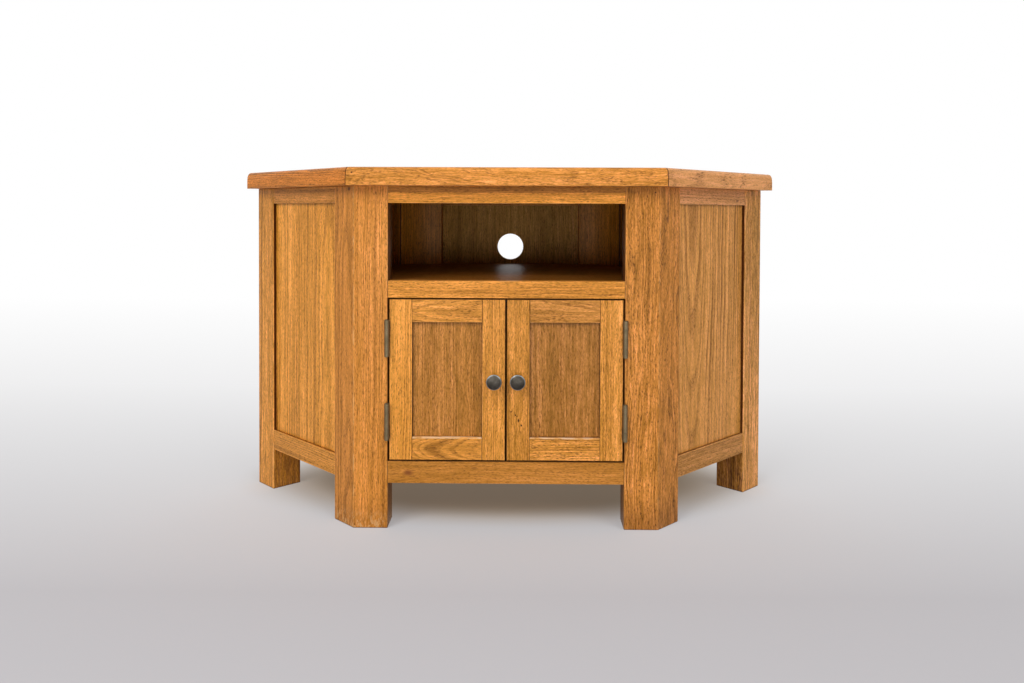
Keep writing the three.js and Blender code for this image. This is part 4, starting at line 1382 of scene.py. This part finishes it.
def screws_in_their_holes():
    """Puts a screw in each hole, with its slot turned as it happened to stop."""
    tree = bpy.data.node_groups.new("screws_in_their_holes", "GeometryNodeTree")
    add = partial(add_node, tree)
    wanted = {"Holes": "Geometry", "Screw": "Object", "Metal": "Material"}
    wanted.update({"Most turn": "Float", "Seed": "Int"})
    for name, kind in wanted.items():
        tree.interface.new_socket(name=name, in_out="INPUT", socket_type=f"NodeSocket{kind}")
    tree.interface.new_socket(name="Screws", in_out="OUTPUT", socket_type="NodeSocketGeometry")
    given = add("NodeGroupInput").outputs
    screw = add("GeometryNodeObjectInfo", given["Screw"]).outputs["Geometry"]
    facing = add("GeometryNodeInputNamedAttribute", "facing", data_type="FLOAT_VECTOR")
    aimed = add("FunctionNodeAlignRotationToVector", {"Vector": facing}, axis="Z")
    chance = {2: 0, 3: given["Most turn"], "Seed": given["Seed"]}
    turn = add("FunctionNodeRandomValue", chance, data_type="FLOAT")
    spin = add("FunctionNodeAxisAngleToRotation", (0, 0, 1), turn)
    turned = add("FunctionNodeRotateRotation", aimed, spin, rotation_space="LOCAL")
    in_holes = {"Points": given["Holes"], "Instance": screw, "Rotation": turned}
    real = add("GeometryNodeRealizeInstances", add("GeometryNodeInstanceOnPoints", in_holes))
    plated = add("GeometryNodeSetMaterial", {"Geometry": real, "Material": given["Metal"]})
    add("NodeGroupOutput", plated)
    return tree


def drive_screws(name, holes, screw, tree, metal, body):
    """Makes one mesh of the screws in `holes`, each a place and the way that the head faces."""
    mesh = bpy.data.meshes.new(name)
    mesh.from_pydata([place for place, _ in holes], [], [])
    facing = mesh.attributes.new("facing", "FLOAT_VECTOR", "POINT")
    for number, (_, way) in enumerate(holes):
        facing.data[number].vector = way
    holder = placed(f"{name}_holes", mesh)
    modifier = holder.modifiers.new("screws", "NODES")
    modifier.node_group = tree
    values = {"Screw": screw, "Metal": metal, "Most turn": math.pi / 2, "Seed": len(name)}
    for item in tree.interface.items_tree:
        if item.in_out == "INPUT" and item.name in values:
            modifier[item.identifier] = values[item.name]
    evaluated = holder.evaluated_get(bpy.context.evaluated_depsgraph_get())
    driven = bpy.data.meshes.new_from_object(evaluated)
    holder.modifiers.remove(modifier)
    bpy.data.objects.remove(holder)
    solid = bmesh.new()
    solid.from_mesh(driven)
    new_piece(name, solid, body, metal, 30)


class MakeScrews(bpy.types.Operator):
    """Makes the screws of the hinges and of the strike plates"""

    bl_idname = "cabinet.make_screws"
    bl_label = "Screws"

    def execute(self, context):
        scene = context.scene
        screws = scene.cabinet_screws
        tree = screws_in_their_holes()
        holes = {"carcass": [], "left_door": [], "right_door": []}
        for hand, side in sides.items():
            for level in ("upper", "lower"):
                low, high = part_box(f"{hand}_{level}_hinge_frame_leaf")
                for number, share_up in enumerate(leaf_screw_shares):
                    y = leaf_middle_y + leaf_screw_stagger * (-1 if number == 1 else 1)
                    z = low.z + (high.z - low.z) * share_up
                    holes["carcass"].append(((side * frame_leaf_face_x, y, z), (-side, 0, 0)))
                    holes[f"{hand}_door"].append(((side * door_leaf_face_x, y, z), (side, 0, 0)))
        made = {}
        for name, reach in {"leaf": screws.leaf_length, "strike": screws.strike_length}.items():
            mesh = mesh_from(f"{name}_screw", screw_solid(screws, reach))
            made[name] = placed(f"{name}_screw", mesh)
        plated = metal_named("antique_plated_steel", scene.cabinet_metals)
        zinc = metal_named("zinc_plated_steel", scene.cabinet_metals)
        for body, places in holes.items():
            drive_screws(f"{body}_leaf_screws", places, made["leaf"], tree, plated, body)
        for hand, side in sides.items():
            hole = [((side * strike_screw.x, strike_screw.y, strike_screw.z), (0, 1, 0))]
            drive_screws(f"{hand}_strike_screw", hole, made["strike"], tree, zinc, f"{hand}_door")
        for screw in made.values():
            bpy.data.objects.remove(screw)
        return {"FINISHED"}


class MakeCatch(bpy.types.Operator):
    """Makes the magnetic catch and its two strike plates"""

    bl_idname = "cabinet.make_catch"
    bl_label = "Catch"

    def execute(self, context):
        scene = context.scene
        easing = scene.cabinet_edges.fitting
        plastic = moulded_plastic(scene.cabinet_metals.plastic)
        solid = eased(merged_copy("magnetic_catch"), easing, 2)
        piece = new_piece("magnetic_catch_body", solid, "carcass", plastic)
        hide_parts("magnetic_catch")
        steel = metal_named("zinc_plated_steel", scene.cabinet_metals)
        for hand in sides:
            node = f"{hand}_strike_plate"
            solid = eased(merged_copy(node), easing, 2)
            piece = new_piece(f"{node}_steel", solid, f"{hand}_door", steel)
            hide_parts(node)
        return {"FINISHED"}


def floor_material(studio, eye):
    """Seamless matt paper. It is grey near the camera and fades to white towards the backdrop, evenly in
    the camera's picture, so by one over the distance in front of the lens."""
    material = bpy.data.materials.new("matt_studio_paper")
    add = node_adder(material)
    place = add("coordinates").outputs["Object"]
    distance = add("split", place).outputs[1]
    far_enough = add("maximum", add("subtract", distance, eye.y), 0.2)
    nearness = add("divide", 1, far_enough)
    near_share = add("range", nearness, 0.19, 0.84, 0, 1)
    fading = {0: near_share, 6: (*studio.floor_far, 1), 7: (*studio.floor_near, 1)}
    paper = add("mix colours", fading)
    # The floor under the cabinet is painted a darker warm shade, standing in for its shadow and the oak's
    # reflected light, and glows less.
    from_middle = add("vector length", add("vector multiply_add", place, (2, 4, 0), (0, -0.12, 0)))
    under = add("smooth range", from_middle, 1.15, 0.65, 0, 1)
    paper = add("mix colours", {0: under, 6: paper, 7: (*studio.painted_shade_under_cabinet, 1)})
    lit = add("ShaderNodeBsdfDiffuse", {"Color": paper})
    white = add("ShaderNodeEmission", {"Color": paper, "Strength": 1})
    seen = add("ShaderNodeLightPath").outputs
    seen_or_mirrored = add("maximum", seen["Is Camera Ray"], seen["Is Glossy Ray"])
    far_glow = add("range", nearness, 0.73, 0.38, 0.32, 1)
    glow_share = add("multiply", far_glow, add("range", under, 0, 1, 1, 0.47))
    surface = add("ShaderNodeMixShader", add("multiply", glow_share, seen_or_mirrored), lit, white)
    add("ShaderNodeOutputMaterial", {"Surface": surface})
    return material


def studio_world(studio):
    """White wherever the camera, a gloss or a see-through ray meets the backdrop. Its light on the cabinet
    is plain and soft, strongest from the ceiling."""
    world = bpy.data.worlds.new("white_studio")
    add = node_adder(world)
    seen = add("ShaderNodeLightPath").outputs
    shown = add("maximum", seen["Is Camera Ray"], seen["Is Glossy Ray"])
    shown_or_through = add("maximum", shown, seen["Is Transmission Ray"])
    direction = add("coordinates").outputs["Generated"]
    height = add("split", direction).outputs[2]
    level = add("range", height, 0, 1, studio.horizon, studio.ceiling)
    ambient = add("ShaderNodeBackground", {"Color": (1, 1, 1, 1), "Strength": level})
    white = add("ShaderNodeBackground", {"Color": (1, 1, 1, 1), "Strength": 1})
    surface = add("ShaderNodeMixShader", shown_or_through, ambient, white)
    add("ShaderNodeOutputWorld", {"Surface": surface})
    return world


# The camera, in metres and degrees: where it stands, how far its view is turned, tilted and rolled, and how
# far its picture is shifted up, as a share of the picture's width. Its film is measured in millimetres.
camera_place = (0.0265, -1.6902, 0.5535)
camera_heading = 0.674
camera_dip = 1.129
camera_roll = 0.215
camera_shift = -0.1106
film_width = 36
farthest_seen = 60
floor_reach = 20


def softbox(name, place, target, size, watts):
    """A rectangular white softbox at `place` that looks at `target`."""
    lamp = bpy.data.lights.new(name, "AREA")
    lamp.shape = "RECTANGLE"
    lamp.size, lamp.size_y = size
    lamp.energy = watts
    holder = placed(name, lamp)
    holder.location = place
    holder.rotation_euler = (Vector(target) - Vector(place)).to_track_quat("-Z", "Y").to_euler()


class MakeStudio(bpy.types.Operator):
    """Makes the camera, the floor, the backdrop and the lights"""

    bl_idname = "cabinet.make_studio"
    bl_label = "Studio"

    def execute(self, context):
        scene = context.scene
        studio = scene.cabinet_studio
        lens = bpy.data.cameras.new("photo_camera")
        lens.lens = studio.lens
        lens.sensor_width = film_width
        lens.shift_y = camera_shift
        lens.clip_end = farthest_seen
        camera = placed("photo_camera", lens)
        camera.location = camera_place
        heading = Matrix.Rotation(math.radians(camera_heading), 4, "Z")
        tilt = Matrix.Rotation(math.radians(90 - camera_dip), 4, "X")
        roll = Matrix.Rotation(math.radians(camera_roll), 4, "Z")
        camera.rotation_euler = (heading @ tilt @ roll).to_euler()
        scene.camera = camera
        corners = [(x * floor_reach, y * floor_reach, 0) for x, y in ((-1, -1), (1, -1), (1, 1), (-1, 1))]
        mesh = bpy.data.meshes.new("studio_floor")
        mesh.from_pydata(corners, [], [(0, 1, 2, 3)])
        mesh.materials.append(floor_material(studio, camera.location))
        floor = placed("studio_floor", mesh)
        scene.world = studio_world(studio)
        softbox("key_softbox", (-1.8, -2.7, 2.5), (0, -0.2, 0.35), (1.8, 1.8), studio.key)
        softbox("fill_softbox", (2.0, -2.6, 2.3), (0, -0.2, 0.35), (1.8, 1.8), studio.fill)
        softbox("bounce_card", (0, -3.4, 0.2), (0, 0, 0.2), (3, 0.4), studio.bounce)
        scene.view_settings.view_transform = "Standard"
        return {"FINISHED"}


groups = {
    "cabinet_oak_colours": CabinetOakColours,
    "cabinet_oak_grain": CabinetOakGrain,
    "cabinet_edges": CabinetEdges,
    "cabinet_metals": CabinetMetals,
    "cabinet_knobs": CabinetKnobs,
    "cabinet_hinges": CabinetHinges,
    "cabinet_screws": CabinetScrews,
    "cabinet_studio": CabinetStudio,
}
makers = [MakeTop, MakePosts, MakeRails, MakePanels, MakeShelfAndFloor, MakeDoors]
makers += [MakeKnobs, MakeHinges, MakeCatch, MakeScrews, MakeStudio]


class CABINET_PT_maker(bpy.types.Panel):
    """Lists the cabinet's sizes and colours and the buttons that make its pieces"""

    bl_label = "Corner television cabinet"
    bl_idname = "CABINET_PT_maker"
    bl_space_type = "VIEW_3D"
    bl_region_type = "UI"
    bl_category = "Cabinet"

    def draw(self, context):
        for maker in makers:
            self.layout.operator(maker.bl_idname)
        for name, group in groups.items():
            column = self.layout.column(heading=group.__doc__)
            for setting in group.__annotations__:
                column.prop(getattr(context.scene, name), setting)


def register():
    for made in (*groups.values(), *makers, CABINET_PT_maker):
        bpy.utils.register_class(made)
    for name, group in groups.items():
        setattr(bpy.types.Scene, name, PointerProperty(type=group))


def unregister():
    for name in groups:
        delattr(bpy.types.Scene, name)
    for made in (CABINET_PT_maker, *makers, *groups.values()):
        bpy.utils.unregister_class(made)


def main():
    register()
    for maker in makers:
        family, name = maker.bl_idname.split(".")
        getattr(getattr(bpy.ops, family), name)()


if __name__ == "__main__":
    main()
